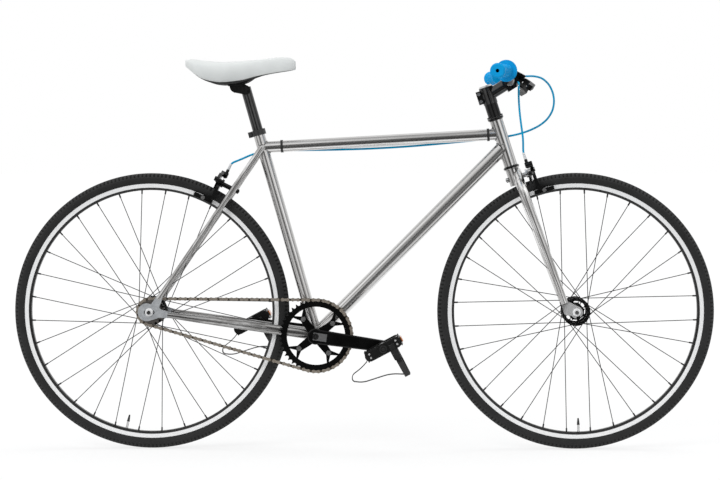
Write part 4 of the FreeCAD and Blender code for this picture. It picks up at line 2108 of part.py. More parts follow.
# Points of each free stretch as shares of the housing loop's size: ahead, to the left and up from the bar's middle
# for the two stretches at the handlebar, and from the rear band for the stretch behind the seat tube.
FRONT_SHARES = ((0.262, 0.57, 0.02), (0.252, 0.4, -0.17), (0.249, 0.25, -0.38), (0.256, 0.08, -0.63),
                (0.274, -0.1, -0.88), (0.303, -0.27, -1.14), (0.333, -0.4, -1.4))
LOOP_SHARES = ((0.391, -0.52, 0.135), (0.601, -0.27, 0.15), (0.821, -0.04, 0.105), (1.001, 0.13, -0.05),
               (1.101, 0.2, -0.26), (1.131, 0.22, -0.48), (1.091, 0.24, -0.7), (0.971, 0.26, -0.9),
               (0.781, 0.28, -1.06), (0.541, 0.295, -1.18), (0.291, 0.3, -1.265), (0.071, 0.3, -1.315),
               (-0.119, 0.275, -1.345))
TAIL_SHARES = ((-0.372, 0.121, -0.02), (-0.592, 0.216, -0.045), (-0.81, 0.276, -0.105), (-1.03, 0.306, -0.205))

# The stretch under the top tube: shares of the way from the front band to the rear one, and of its sag.
SAG_SHARES = ((0.0756, 0.23), (0.206, 0.6), (0.353, 0.9), (0.5, 1), (0.647, 0.9), (0.794, 0.6), (0.924, 0.23))

band_grip = size.band_width * 3
top_tube_up = RIGHT.cross(top_line)
housing_side = (LEFT * 0.763 - top_tube_up * 0.646).normalize()
housing_rest = size.top_tube_diameter / 2 + size.housing_diameter / 2 + size.clearance
front_band = top_tube_front - top_line * float(size.front_band) + housing_side * float(housing_rest)
rear_band = top_tube_rear + top_line * float(size.rear_band) + housing_side * float(housing_rest)


def spread(origin, shares):
    return [origin + Vector(*share) * float(size.housing_loop) for share in shares]


def lever_leads(side):
    """The housing's start in the lever's barrel and the end of its first straight run."""
    frame = lever_frame(side)
    start = frame.multVec(Vector(-float(barrel_root + size.barrel_length / 2), float(barrel_reach), 0))
    return [start, start - direction(frame, 1, 0, 0) * float(size.barrel_length * 1.5)]


def caliper_leads(frame):
    """The start of the housing's last straight run and its end, just clear of the caliper's barrel."""
    end = frame.multVec(Vector(-float(size.caliper_cable), float(barrel_top + size.clearance), float(wire_layer)))
    return [end + direction(frame, 0, 1, 0) * float(size.barrel_length), end]


def sagging_run():
    """Points under the top tube between the two bands."""
    start = front_band - top_line * float(band_grip)
    end = rear_band + top_line * float(band_grip)
    sink = (RIGHT * 0.55 - top_tube_up * 0.83) * float(size.housing_diameter * 1.8)
    return [start] + [start + (end - start) * way + sink * sag for way, sag in SAG_SHARES] + [end]


def housing_band(name, centre):
    foot = centre - housing_side * float(housing_rest) - top_line * float(size.band_width / 2)
    body = new_body(name, axes(foot, housing_side, top_line))
    skin = 2 * size.band_thickness
    band = sketch_on(body)
    capsule(band, (0, 0, size.top_tube_diameter + skin), (housing_rest, 0, size.housing_diameter + skin))
    pad(body, band, size.band_width)
    for x, diameter in ((0, size.top_tube_diameter), (housing_rest, size.housing_diameter)):
        hole = sketch_on(body)
        circle(hole, x, 0, diameter)
        pocket(body, hole)
    return body


def housing(label, points):
    piece(label, shape(label, round_sweep(rounded_path(points, loose_radii(points)), size.housing_diameter)))


front_line = lever_leads("left") + spread(bar_centre, FRONT_SHARES) + caliper_leads(front_caliper)
loop_line = lever_leads("right") + spread(bar_centre, LOOP_SHARES) + [
    front_band + top_line * float(band_grip), front_band]
rear_line = [front_band] + sagging_run() + [rear_band - top_line * float(band_grip)] + spread(
    rear_band, TAIL_SHARES) + caliper_leads(rear_caliper)
housing("front_brake_housing", front_line)
housing("rear_brake_loop", loop_line)
housing("rear_brake_housing", rear_line)
group("housing_bands", [housing_band("front_band", front_band), housing_band("rear_band", rear_band)])


# Checking and writing


def write_pieces():
    """Checks every object and each sub-part's solids, then writes one file for each sub-part."""
    doc.recompute()
    failed = [obj.Label for obj in doc.Objects if "Invalid" in obj.State or "Error" in obj.State]
    if failed:
        raise RuntimeError(f"failed objects: {failed}")
    for obj in PIECES:
        if obj.Shape.isNull() or not obj.Shape.isValid() or not obj.Shape.Solids:
            raise RuntimeError(f"bad shape: {obj.Label}")
    os.makedirs("parts", exist_ok=True)
    for obj in PIECES:
        obj.Shape.exportStep(f"parts/{obj.Label}.step")
        print(obj.Label, len(obj.Shape.Solids), "solids", round(obj.Shape.Volume), "mm3")


write_pieces()
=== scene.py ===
import json
import math

import bmesh
import bpy
from mathutils import Matrix, Vector


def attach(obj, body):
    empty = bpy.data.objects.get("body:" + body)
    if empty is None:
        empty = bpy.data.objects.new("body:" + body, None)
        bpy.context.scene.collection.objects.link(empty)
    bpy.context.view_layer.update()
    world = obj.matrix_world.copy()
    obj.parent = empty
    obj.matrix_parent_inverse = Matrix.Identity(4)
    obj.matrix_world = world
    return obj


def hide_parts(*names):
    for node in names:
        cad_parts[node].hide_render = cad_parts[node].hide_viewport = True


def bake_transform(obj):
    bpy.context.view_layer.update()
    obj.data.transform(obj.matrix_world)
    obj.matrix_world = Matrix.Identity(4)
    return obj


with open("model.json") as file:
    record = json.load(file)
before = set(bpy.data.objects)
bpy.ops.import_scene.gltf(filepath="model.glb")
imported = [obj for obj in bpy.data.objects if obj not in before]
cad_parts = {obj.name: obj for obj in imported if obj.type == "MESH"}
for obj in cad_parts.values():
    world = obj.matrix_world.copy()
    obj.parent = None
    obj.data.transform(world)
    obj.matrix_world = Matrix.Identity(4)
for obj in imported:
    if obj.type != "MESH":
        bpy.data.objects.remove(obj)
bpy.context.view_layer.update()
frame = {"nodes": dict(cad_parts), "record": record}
NODES = frame["nodes"]
JOINTS = {joint["name"]: joint for joint in frame["record"]["behaviour"]["joints"]}
PIVOTS = {name: Vector(joint["pos_m"]) for name, joint in JOINTS.items() if joint["type"] == "hinge"}
MM = 0.001
WHITE = (1, 1, 1)

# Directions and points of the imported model, in its own frame: metres, +X forward, +Y left, +Z up.
LEFT = Vector((0, 1, 0))
UP = Vector((0, 0, 1))
FRONT_AXLE = PIVOTS["front_wheel_spin"]
REAR_AXLE = PIVOTS["rear_wheel_spin"]
WHEELS = (("front", FRONT_AXLE), ("rear", REAR_AXLE))
BRACKET = PIVOTS["crank_spin"]
CRANK_LINE = (PIVOTS["right_pedal_spin"] - BRACKET).normalized()
CROWN = PIVOTS["steering_turn"]
STEER = Vector(JOINTS["steering_turn"]["axis"])
SEAT_LINE = Vector(JOINTS["seatpost_slide"]["axis"])
SEAT_TIP = Vector((-0.26135, 0, 0.79048))
TOP_START = Vector((-0.24977, 0, 0.7501))
TOP_LINE = Vector((0.99854, 0, 0.05399))
DOWN_LINE = Vector((0.7055, 0, 0.7087))
PEDAL_TURN = math.radians(208)
PEDAL_TOE = Vector((math.cos(PEDAL_TURN), 0, math.sin(PEDAL_TURN)))
PEDAL_LEVEL = PEDAL_TOE.cross(LEFT).normalized()
CHAIN_MIDDLE = Vector((0, -0.042, 0))

# Outer radii of the frame's tubes, in metres.
HEAD_RADIUS = 0.0165
SEAT_RADIUS = 0.0143
TOP_RADIUS = 0.014
DOWN_RADIUS = 0.01745
SHELL_RADIUS = 0.02

# Distances from a wheel's axle, in metres.
NUT_BORE = 0.0048
PLATE_REACH = 0.034
STEM_TIP = 0.2838
STEM_FOOT = 0.30225
TRACK_EDGE = 0.3071
NOTCH_FOOT = 0.3335
NOTCH_TOP = 0.3405

TREAD_BLOCKS = 216
STEPS_A_BLOCK = 4
NOTCH_STEPS = 2
NOTCH_DEPTH = 1.7

# Places in a caliper's frame, in millimetres.
WIRE_ACROSS = -44
WIRE_OUT = -4.4
HOUSING_STOP = 36.9
SHOE_UP = -50
SHOE_OUT = 17


class Caliper:
    """A brake caliper's own frame: out along its bolt, across it and up."""

    def __init__(self, joint, across):
        self.pivot = Vector(joint["pos_m"])
        self.across = across
        self.out = -Vector(joint["axis"])
        self.up = self.out.cross(across)

    def at(self, x, y, z):
        """A point given in millimetres across, up and out from the pivot."""
        return self.pivot + (self.across * x + self.up * y + self.out * z) * MM


FRONT_CALIPER = Caliper(JOINTS["front_centre_arm_turn"], LEFT)
REAR_CALIPER = Caliper(JOINTS["rear_centre_arm_turn"], -LEFT)


# Node materials


class Graph:
    """A node tree that grows by calls. A socket gets a plain value or another node's output."""

    def __init__(self, tree):
        self.tree = tree

    def fill(self, node, sockets):
        """Fills sockets by name, with _ for a space, or by number as _0, _1 and so on."""
        for name, value in sockets.items():
            socket = node.inputs[int(name[1:]) if name[1:].isdigit() else name.replace("_", " ")]
            if isinstance(value, bpy.types.NodeSocket):
                self.tree.links.new(value, socket)
            else:
                socket.default_value = value

    def node(self, kind, settings=None, **sockets):
        made = self.tree.nodes.new(kind)
        for name, value in (settings or {}).items():
            setattr(made, name, value)
        self.fill(made, sockets)
        return made

    def maths(self, operation, first, second=0.0):
        return self.node("ShaderNodeMath", {"operation": operation}, _0=first, _1=second).outputs[0]

    def span(self, value, low, high, start=0.0, end=1.0):
        """A value taken from one range to another."""
        made = self.node("ShaderNodeMapRange", Value=value, From_Min=low, From_Max=high,
                         To_Min=start, To_Max=end)
        return made.outputs[0]

    def ramp(self, value, *stops):
        made = self.node("ShaderNodeValToRGB", Fac=value)
        points = made.color_ramp.elements
        while len(points) < len(stops):
            points.new(0.5)
        for point, (place, colour) in zip(points, stops):
            point.position = place
            point.color = (*colour, 1)
        return made.outputs["Color"]

    def blend(self, share, first, second, kind="MIX"):
        """One colour laid over another by a share."""
        colours = [value if isinstance(value, bpy.types.NodeSocket) else (*value, 1)
                   for value in (first, second)]
        made = self.node("ShaderNodeMix", {"data_type": "RGBA", "blend_type": kind}, Factor=share,
                         _6=colours[0], _7=colours[1])
        return made.outputs[2]


class Look(Graph):
    """A material whose nodes end in one principled shader. Its noise and masks are in metres."""

    # The range that most of a noise texture's values lie in.
    LOW, HIGH = 0.3, 0.7

    def __init__(self, name, **sockets):
        self.material = bpy.data.materials.new(name)
        self.material.use_nodes = True
        super().__init__(self.material.node_tree)
        self.shader = self.tree.nodes["Principled BSDF"]
        self.place = self.node("ShaderNodeTexCoord").outputs["Object"]
        self.fill(self.shader, sockets)

    def noise(self, size, vector=None, detail=3.0, rough=0.55):
        """Noise whose features are about this size."""
        made = self.node("ShaderNodeTexNoise", Vector=vector or self.place, Scale=1 / size, Detail=detail,
                         Roughness=rough)
        return made.outputs["Fac"]

    def drawn(self, along, fine, long):
        """Coordinates drawn out along one direction, so that noise in them runs in streaks."""
        turn = UP.rotation_difference(Vector(along)).to_euler()
        made = self.node("ShaderNodeMapping", {"vector_type": "TEXTURE"}, Vector=self.place, Rotation=turn,
                         Scale=(fine, fine, long))
        return made.outputs[0]

    def mixed(self, first, first_share, second, second_share):
        return self.maths("ADD", self.maths("MULTIPLY", first, first_share),
                          self.maths("MULTIPLY", second, second_share))

    def mottled(self, noise, dark, pale):
        """A colour that goes with noise."""
        return self.ramp(noise, (self.LOW, dark), (self.HIGH, pale))

    def varied(self, noise, start, end):
        """A number that goes with noise."""
        return self.span(noise, self.LOW, self.HIGH, start, end)

    def vector(self, operation, *values):
        sockets = {f"_{index}": value for index, value in enumerate(values)}
        return self.node("ShaderNodeVectorMath", {"operation": operation}, **sockets).outputs

    def gap(self, point):
        return self.vector("SUBTRACT", self.place, tuple(point))[0]

    def axle_distance(self, centre):
        """The distance from a wheel's axle."""
        flat = self.vector("MULTIPLY", self.gap(centre), (1, 0, 1))[0]
        return self.vector("LENGTH", flat)["Value"]

    def turn_share(self, centre, count):
        """How far each point is through its step, where so many steps go round an axle."""
        parts = self.node("ShaderNodeSeparateXYZ", Vector=self.gap(centre)).outputs
        angle = self.maths("ARCTAN2", parts["Z"], parts["X"])
        return self.maths("FRACT", self.maths("MULTIPLY", angle, count / (2 * math.pi)))

    def along(self, point, line):
        """The distance of each point along a line from a point on it."""
        return self.vector("DOT_PRODUCT", self.gap(point), tuple(line))["Value"]

    def aside(self, point, line):
        """The distance of each point from a line."""
        cross = self.vector("CROSS_PRODUCT", self.gap(point), tuple(line))[0]
        return self.vector("LENGTH", cross)["Value"]

    def under(self, value, limit, soft=0.0001):
        return self.span(value, limit + soft, limit - soft)

    def over(self, value, limit, soft=0.0001):
        return self.span(value, limit - soft, limit + soft)

    def both(self, *masks):
        value = masks[0]
        for mask in masks[1:]:
            value = self.maths("MULTIPLY", value, mask)
        return value

    def either(self, *masks):
        value = masks[0]
        for mask in masks[1:]:
            value = self.maths("MAXIMUM", value, mask)
        return value

    def bump(self, height, depth, strength):
        made = self.node("ShaderNodeBump", Height=height, Distance=depth, Strength=strength)
        self.fill(self.shader, {"Normal": made.outputs[0]})

    def paint(self, **sockets):
        self.fill(self.shader, sockets)
        return self.material


def grey(level, warmth=0.0):
    return (level * (1 + warmth), level, level * (1 - warmth))


def brushed_steel(name, along, level, plates=None):
    """Bare steel brushed along a tube and lacquered; the flat plates round an axle are painted paler, as
    painted light on their flat faces.
    """
    look = Look(name, Metallic=1.0, Coat_Weight=0.2, Coat_Roughness=0.08)
    broad = look.noise(1.0, look.drawn(along, 0.006, 0.9), detail=1)
    fine = look.noise(1.0, look.drawn(along, 0.0016, 0.4), detail=1)
    cloud = look.noise(0.11)
    streak = look.mixed(broad, 0.62, fine, 0.38)
    dull, bright = 0.35, 0.65
    shade = look.ramp(streak, (dull, grey(level * 0.5, 0.015)), (0.5, grey(level, 0.01)),
                      (bright, grey(level * 1.6)))
    tint = look.blend(look.span(cloud, 0.45, 0.75, 0, 0.25), shade, grey(level * 0.75, 0.06))
    look.bump(fine, 0.00002, 0.3)
    # Painted light: near the axle the plates get a paler, less metallic grey for the light on their flat
    # faces.
    if plates is not None:
        near = look.under(look.axle_distance(plates), PLATE_REACH, soft=0.008)
        tint = look.blend(near, tint, grey(0.78))
        look.paint(Metallic=look.span(near, 0, 1, 1.0, 0.6))
    return look.paint(Base_Color=tint, Roughness=look.span(streak, dull, bright, 0.27, 0.17))


def satin_black(name, level=0.0025, rough=0.2, metal=0.0, shine=0.32):
    """Black anodised or painted alloy with fine mottling and a little dust."""
    look = Look(name, Metallic=metal, Specular_IOR_Level=shine)
    grain = look.noise(0.0009, detail=4)
    cloud = look.noise(0.03)
    shade = look.mottled(look.mixed(grain, 0.5, cloud, 0.5), grey(level * 0.6), grey(level * 1.8))
    look.bump(grain, 0.000015, 0.3)
    return look.paint(Base_Color=shade, Roughness=look.varied(cloud, rough * 0.85, rough * 1.25))


def plated(name, level=0.62, warmth=0.0, rough=0.24, metal=1.0):
    """Plated or machined steel with faint turning marks and smudges."""
    look = Look(name, Metallic=metal)
    marks = look.noise(0.0015, detail=5, rough=0.7)
    smudge = look.noise(0.012)
    shade = look.ramp(smudge, (0.25, grey(level * 0.7, warmth * 1.5)), (0.7, grey(level, warmth)))
    look.bump(marks, 0.00004, 0.35)
    return look.paint(Base_Color=shade, Roughness=look.varied(marks, rough * 0.8, rough * 1.3))


def rim_finish(name, centre):
    """A black rim with a bare turned braking track."""
    look = Look(name)
    reach = look.axle_distance(centre)
    track = look.over(reach, TRACK_EDGE, 0.0003)
    lines_a_metre = 9000.0
    lines = look.node("ShaderNodeTexNoise", {"noise_dimensions": "1D"}, Scale=1.0, Detail=2.0,
                      W=look.maths("MULTIPLY", reach, lines_a_metre)).outputs["Fac"]
    bare = look.mottled(lines, grey(0.88), grey(0.98))
    dark = look.mottled(look.noise(0.004, detail=4), grey(0.006), grey(0.013))
    look.bump(lines, 0.00004, 0.35)
    return look.paint(Base_Color=look.blend(track, dark, bare), Metallic=look.maths("MULTIPLY", track, 0.12),
                      Roughness=look.span(track, 0, 1, 0.34, 0.38))


def tyre_rubber(name, centre):
    """Tyre rubber, greyer on the tread than on the side walls, with painted shade in the notches of the
    shoulder.
    """
    look = Look(name, Specular_IOR_Level=0.25)
    reach = look.axle_distance(centre)
    grain = look.noise(0.0014, detail=6, rough=0.7)
    cloud = look.noise(0.05)
    shade = look.mottled(look.mixed(grain, 0.6, cloud, 0.4), grey(0.013), grey(0.03))
    worn = look.blend(look.span(reach, 0.33, 0.3425, 0, 0.7), shade, grey(0.042))
    # Painted shade: the notches of the shoulder are darkened for the shade in them.
    notch_shade = look.both(look.under(look.turn_share(centre, TREAD_BLOCKS), 0.42, 0.06),
                        look.over(reach, NOTCH_FOOT, 0.0005), look.under(reach, NOTCH_TOP, 0.0005))
    look.bump(grain, 0.0002, 0.5)
    return look.paint(Base_Color=look.blend(notch_shade, worn, grey(0.004)),
                      Roughness=look.varied(grain, 0.58, 0.78))


def valve_finish(name, centre):
    """The inner tube's rubber, its plated valve stem and its black cap."""
    look = Look(name)
    reach = look.axle_distance(centre)
    stem = look.both(look.over(reach, STEM_TIP, 0.0002), look.under(reach, STEM_FOOT, 0.00025))
    grain = look.noise(0.0012, detail=4)
    dark = look.mottled(grain, grey(0.012), grey(0.03))
    bare = look.mottled(grain, grey(0.55), grey(0.75))
    look.bump(grain, 0.00005, 0.4)
    return look.paint(Base_Color=look.blend(stem, dark, bare), Metallic=stem,
                      Roughness=look.span(stem, 0, 1, 0.55, 0.25))


def blue_skin(name, rough, grain_depth, green, blue):
    """Blue rubber or sheath with a fine moulded grain."""
    look = Look(name, Specular_IOR_Level=0.16)
    grain = look.noise(0.0011, detail=4)
    cloud = look.noise(0.018)
    shade = look.ramp(cloud, (0.25, (0.0, green * 0.92, blue * 0.93)),
                      (0.75, (0.0, green * 1.08, blue * 1.07)))
    look.bump(grain, grain_depth, 0.5)
    return look.paint(Base_Color=shade, Roughness=look.varied(grain, rough * 0.9, rough * 1.15))


def caliper_finish(name, brake):
    """Black arms with bare hardware: the inner wire, its anchor and the nuts of the brake blocks."""
    look = Look(name, Specular_IOR_Level=0.3)
    wire_radius, anchor_radius, anchor_face, nut_radius, nut_face = 0.00115, 0.0052, -0.0006, 0.0049, 0.0339
    wire = look.under(look.aside(brake.at(WIRE_ACROSS, 0, WIRE_OUT), brake.up), wire_radius)
    anchor = look.both(look.under(look.aside(brake.at(WIRE_ACROSS, 0, 0), brake.out), anchor_radius),
                       look.over(look.along(brake.pivot, brake.out), anchor_face))
    across = look.maths("ABSOLUTE", look.along(brake.pivot, brake.across))
    nuts = look.both(look.under(look.aside(brake.at(0, SHOE_UP, SHOE_OUT), brake.across), nut_radius),
                     look.over(across, nut_face))
    hardware = look.either(wire, anchor, nuts)
    grain = look.noise(0.0012, detail=4)
    dark = look.mottled(grain, grey(0.0021), grey(0.0063))
    bare = look.mottled(grain, grey(0.496), grey(0.62))
    look.bump(grain, 0.00002, 0.3)
    return look.paint(Base_Color=look.blend(hardware, dark, bare), Metallic=hardware,
                      Roughness=look.span(hardware, 0, 1, 0.22, 0.24))


def axle_finish(name, centre):
    """Bright nuts and washers with a darker threaded axle end."""
    look = Look(name)
    nut = look.over(look.axle_distance(centre), NUT_BORE)
    thread = look.node("ShaderNodeTexWave", {"wave_type": "BANDS", "bands_direction": "Y"}, Vector=look.place,
                       Scale=900.0).outputs["Fac"]
    dark = look.ramp(thread, (0.2, grey(0.05)), (0.8, grey(0.16)))
    bright = look.mottled(look.noise(0.004), grey(0.86), grey(0.97))
    return look.paint(Base_Color=look.blend(nut, dark, bright), Metallic=look.span(nut, 0, 1, 0.6, 0.1),
                      Roughness=look.span(nut, 0, 1, 0.5, 0.28))


def crank_finish():
    """Gloss black with one plain grey panel near the root."""
    look = Look("right_crank_look", Specular_IOR_Level=0.18)
    panel_start, panel_end, panel_half_height, face = 0.022, 0.053, 0.0095, -0.0695
    along = look.along(BRACKET, CRANK_LINE)
    level = look.maths("ABSOLUTE", look.along(BRACKET, CRANK_LINE.cross(LEFT).normalized()))
    panel = look.both(look.over(along, panel_start), look.under(along, panel_end),
                      look.under(level, panel_half_height), look.under(look.along((0, 0, 0), LEFT), face))
    cloud = look.noise(0.02, detail=4)
    scuff = look.noise(0.0016, look.drawn(CRANK_LINE, 1.0, 14.0), detail=4)
    dark = look.mottled(cloud, grey(0.0018), grey(0.0035))
    pale = look.mottled(scuff, grey(0.1), grey(0.15))
    look.bump(scuff, 0.00001, 0.3)
    return look.paint(Base_Color=look.blend(panel, dark, pale), Roughness=look.varied(cloud, 0.14, 0.24))


def pedal_finish(side):
    """Moulded black with an amber reflector let into the back."""
    look = Look(f"{side}_pedal_look", Specular_IOR_Level=0.25)
    reflector_face = -0.0491
    amber = look.under(look.along(PIVOTS[f"{side}_pedal_spin"], PEDAL_TOE), reflector_face)
    spark = look.noise(0.0008, detail=3)
    prisms = look.node("ShaderNodeTexVoronoi", Vector=look.place, Scale=420.0).outputs["Distance"]
    dark = look.mottled(spark, grey(0.003), grey(0.01))
    lens = look.ramp(prisms, (0.1, (0.85, 0.26, 0.01)), (0.6, (0.42, 0.09, 0.003)))
    look.bump(look.maths("ADD", spark, look.maths("MULTIPLY", prisms, amber)), 0.00008, 0.4)
    return look.paint(Base_Color=look.blend(amber, dark, lens), Roughness=look.span(amber, 0, 1, 0.36, 0.12))


def white_plastic():
    """Slightly translucent white plastic."""
    look = Look("ferrule_white", Specular_IOR_Level=0.4, Transmission_Weight=0.15)
    cloud = look.noise(0.004)
    shade = look.mottled(cloud, (0.74, 0.75, 0.76), (0.84, 0.85, 0.86))
    return look.paint(Base_Color=shade, Roughness=look.varied(cloud, 0.3, 0.4))


def chain_finish():
    """Oiled chain steel with grime, paler on the outer plates; the inner plates and rollers between them are
    painted dark as shade.
    """
    look = Look("chain_steel_look", Metallic=0.75)
    outer_plates = 0.00305
    grime = look.noise(0.004, detail=5, rough=0.65)
    outer = look.over(look.maths("ABSOLUTE", look.along(CHAIN_MIDDLE, LEFT)), outer_plates)
    # Painted shade: everything between the outer plates takes the dark colour.
    dark = look.mottled(grime, (0.05, 0.04, 0.028), (0.12, 0.1, 0.075))
    pale = look.mottled(grime, (0.24, 0.205, 0.165), (0.5, 0.45, 0.39))
    look.bump(grime, 0.0001, 0.4)
    return look.paint(Base_Color=look.blend(outer, dark, pale), Roughness=look.varied(grime, 0.5, 0.3))


def vinyl():
    """Pale saddle vinyl with a fine leather grain."""
    look = Look("saddle_vinyl", Coat_Weight=0.06, Coat_Roughness=0.35, Specular_IOR_Level=0.4)
    cells = look.node("ShaderNodeTexVoronoi", {"feature": "DISTANCE_TO_EDGE"}, Vector=look.place,
                      Scale=620.0).outputs["Distance"]
    crease = look.noise(0.03, detail=5)
    shade = look.mottled(look.noise(0.06), (0.69, 0.71, 0.7), (0.745, 0.765, 0.755))
    look.bump(look.mixed(cells, 0.8, crease, 0.5), 0.00022, 0.55)
    return look.paint(Base_Color=shade, Roughness=look.varied(crease, 0.42, 0.54))


def moulded(name, level, rough):
    """Black moulded plastic with a fine sparkle finish."""
    look = Look(name, Specular_IOR_Level=0.5)
    spark = look.noise(0.0007, detail=2)
    shade = look.mottled(look.noise(0.02), grey(level * 0.75), grey(level * 1.5))
    look.bump(spark, 0.00006, 0.5)
    return look.paint(Base_Color=shade, Roughness=look.varied(spark, rough * 0.85, rough * 1.2))


def dress(material, *names):
    for name in names:
        for slot in NODES[name].material_slots:
            slot.material = material


# Each tube with the direction of its brushing and the level of its steel. The levels differ from tube to tube
# as painted light: all are one steel, set lighter or darker for how light falls on each tube.
TUBES = {"head_tube": (STEER, 0.52), "seat_tube": (SEAT_LINE, 0.64), "top_tube": (TOP_LINE, 0.6),
         "down_tube": (DOWN_LINE, 0.54), "chainstays": (REAR_AXLE - BRACKET, 0.34),
         "seatstays": (REAR_AXLE - SEAT_TIP, 0.46), "stay_bridges": (LEFT, 0.5), "fork_steerer": (STEER, 0.5),
         "bottom_bracket_shell": (LEFT, 0.5)}
for tube, (line, level) in TUBES.items():
    dress(brushed_steel(f"{tube}_steel", line, level), tube)
# The fork blades' level is painted light as well, set for how light falls on them.
dress(brushed_steel("fork_blades_steel", FRONT_AXLE - CROWN, 0.64, plates=FRONT_AXLE), "fork_blades")

dress(satin_black("black_alloy_look"), "headset_cups", "headset_spacers", "handlebar", "front_hub",
      "rear_hub", "rear_brake_bolt")
dress(satin_black("black_polish_look", level=0.055, rough=0.18, metal=1.0), "stem", "seatpost")
dress(satin_black("black_chainset_look", level=0.0022, rough=0.16, shine=0.25), "left_crank", "chainring")
dress(satin_black("black_lever_look", level=0.003, rough=0.42, shine=0.1), "lever_perches",
      "right_brake_lever", "left_brake_lever")
dress(satin_black("seat_clamp_look", level=0.03, rough=0.34), "seat_clamp")
dress(satin_black("crank_bolt_look", level=0.006, rough=0.3), "bottom_bracket_spindle")
dress(satin_black("black_rail_look", rough=0.35), "saddle_rails")
dress(satin_black("spoke_black", level=0.012, rough=0.3, shine=0.4), "front_spokes", "rear_spokes")
dress(plated("rear_cog_look", level=0.24, warmth=0.06, rough=0.34), "rear_cog")
dress(plated("dropout_look", level=0.7, warmth=-0.03, rough=0.3, metal=0.6), "rear_dropouts")
dress(plated("plated_steel_look"), "chainring_bolts", "pedal_spindles", "front_brake_bolt", "stem_bolts")
dress(crank_finish(), "right_crank")
dress(chain_finish(), "chain")
dress(caliper_finish("front_caliper_look", FRONT_CALIPER), "front_centre_arm", "front_side_arm")
dress(caliper_finish("rear_caliper_look", REAR_CALIPER), "rear_centre_arm", "rear_side_arm")
dress(blue_skin("blue_grip_rubber", rough=0.5, grain_depth=0.0001, green=0.335, blue=0.73), "grips")
dress(blue_skin("blue_housing_sheath", rough=0.45, grain_depth=0.000005, green=0.34, blue=0.6),
      "front_brake_housing", "rear_brake_loop", "rear_brake_housing")
dress(moulded("black_band_look", level=0.014, rough=0.5), "housing_bands")
dress(moulded("saddle_shell_look", level=0.014, rough=0.5), "saddle_base")
dress(moulded("clip_look", level=0.008, rough=0.36), "right_toe_clip", "left_toe_clip")
for side in ("right", "left"):
    dress(pedal_finish(side), f"{side}_pedal")
for wheel, axle in WHEELS:
    dress(axle_finish(f"{wheel}_axle_look", axle), f"{wheel}_axle")
    dress(rim_finish(f"{wheel}_rim_look", axle), f"{wheel}_rim")
    dress(valve_finish(f"{wheel}_tube_look", axle), f"{wheel}_inner_tube")
    dress(tyre_rubber(f"{wheel}_tyre_look", axle), f"{wheel}_tyre")


# Meshes


def mesh_piece(name, points, faces, material, body):
    mesh = bpy.data.meshes.new(name)
    mesh.from_pydata(points, [], faces)
    mesh.materials.append(material)
    made = bpy.data.objects.new(name, mesh)
    bpy.context.scene.collection.objects.link(made)
    shape = bmesh.new()
    shape.from_mesh(mesh)
    bmesh.ops.recalc_face_normals(shape, faces=shape.faces)
    shape.to_mesh(mesh)
    shape.free()
    for face in mesh.polygons:
        face.use_smooth = True
    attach(made, body)
    return made


def rings_to_faces(rings, sides, closed):
    """Quads between rings of points that each go round once; an open row of rings is capped at both ends."""
    faces = []
    for ring in range(rings if closed else rings - 1):
        here = ring * sides
        there = (ring + 1) % rings * sides
        for side in range(sides):
            after = (side + 1) % sides
            faces.append((here + side, here + after, there + after, there + side))
    if not closed:
        faces.append(tuple(range(sides))[::-1])
        faces.append(tuple(range((rings - 1) * sides, rings * sides)))
    return faces


def arc_points(first, middle, last, count):
    """Points on the arc through three points of a plane, without the last one."""
    (ax, ay), (bx, by), (cx, cy) = first, middle, last
    twice = 2 * (ax * (by - cy) + bx * (cy - ay) + cx * (ay - by))
    a2, b2, c2 = ax * ax + ay * ay, bx * bx + by * by, cx * cx + cy * cy
    ox = (a2 * (by - cy) + b2 * (cy - ay) + c2 * (ay - by)) / twice
    oy = (a2 * (cx - bx) + b2 * (ax - cx) + c2 * (bx - ax)) / twice
    radius = math.hypot(ax - ox, ay - oy)
    start, mid, end = (math.atan2(y - oy, x - ox) for x, y in (first, middle, last))
    turn = (end - start) % (2 * math.pi)
    if (mid - start) % (2 * math.pi) > turn:
        turn -= 2 * math.pi
    angles = [start + turn * step / count for step in range(count)]
    return [(ox + radius * math.cos(angle), oy + radius * math.sin(angle)) for angle in angles]


# Tyres: the casing's section with ribs on the side walls and a tread of small shoulder blocks


def mirrored(points):
    return [(-across, radius, cut) for across, radius, cut in reversed(points)]


def tyre_section():
    """Half widths and radii of the section in millimetres, and whether the tread's notches cut each point."""
    bead_half, bead, lip = 10.35, 311.0, 317.4
    shoulder_half, shoulder, belly_half, belly, crest = 12.8, 336.6, 16, 327.0, 343.0
    rib, ribs, notched_wall = 0.25, (3, 10), 11
    groove, groove_inner, groove_outer, notched_tread = 0.7, 3.2, 4.6, 6
    side = arc_points((shoulder_half, lip), (belly_half, belly), (shoulder_half, shoulder), 14)
    tread = arc_points((shoulder_half, shoulder), (0, crest), (-shoulder_half, shoulder), 24)
    wall = [(across + (rib if index in ribs else 0), radius, index > notched_wall)
            for index, (across, radius) in enumerate(side)]
    crown = [(across, radius - (groove if groove_inner < abs(across) < groove_outer else 0),
              abs(across) > notched_tread) for across, radius in tread]
    outer = [(bead_half, bead, False), (bead_half, lip, False)] + wall
    lining = [(-8.2, bead, False), (-8.2, lip, False), (-13.4, 325, False), (-10.8, 333, False)]
    return outer + crown + mirrored(outer) + lining + [(0, 338.6, False)] + mirrored(lining)


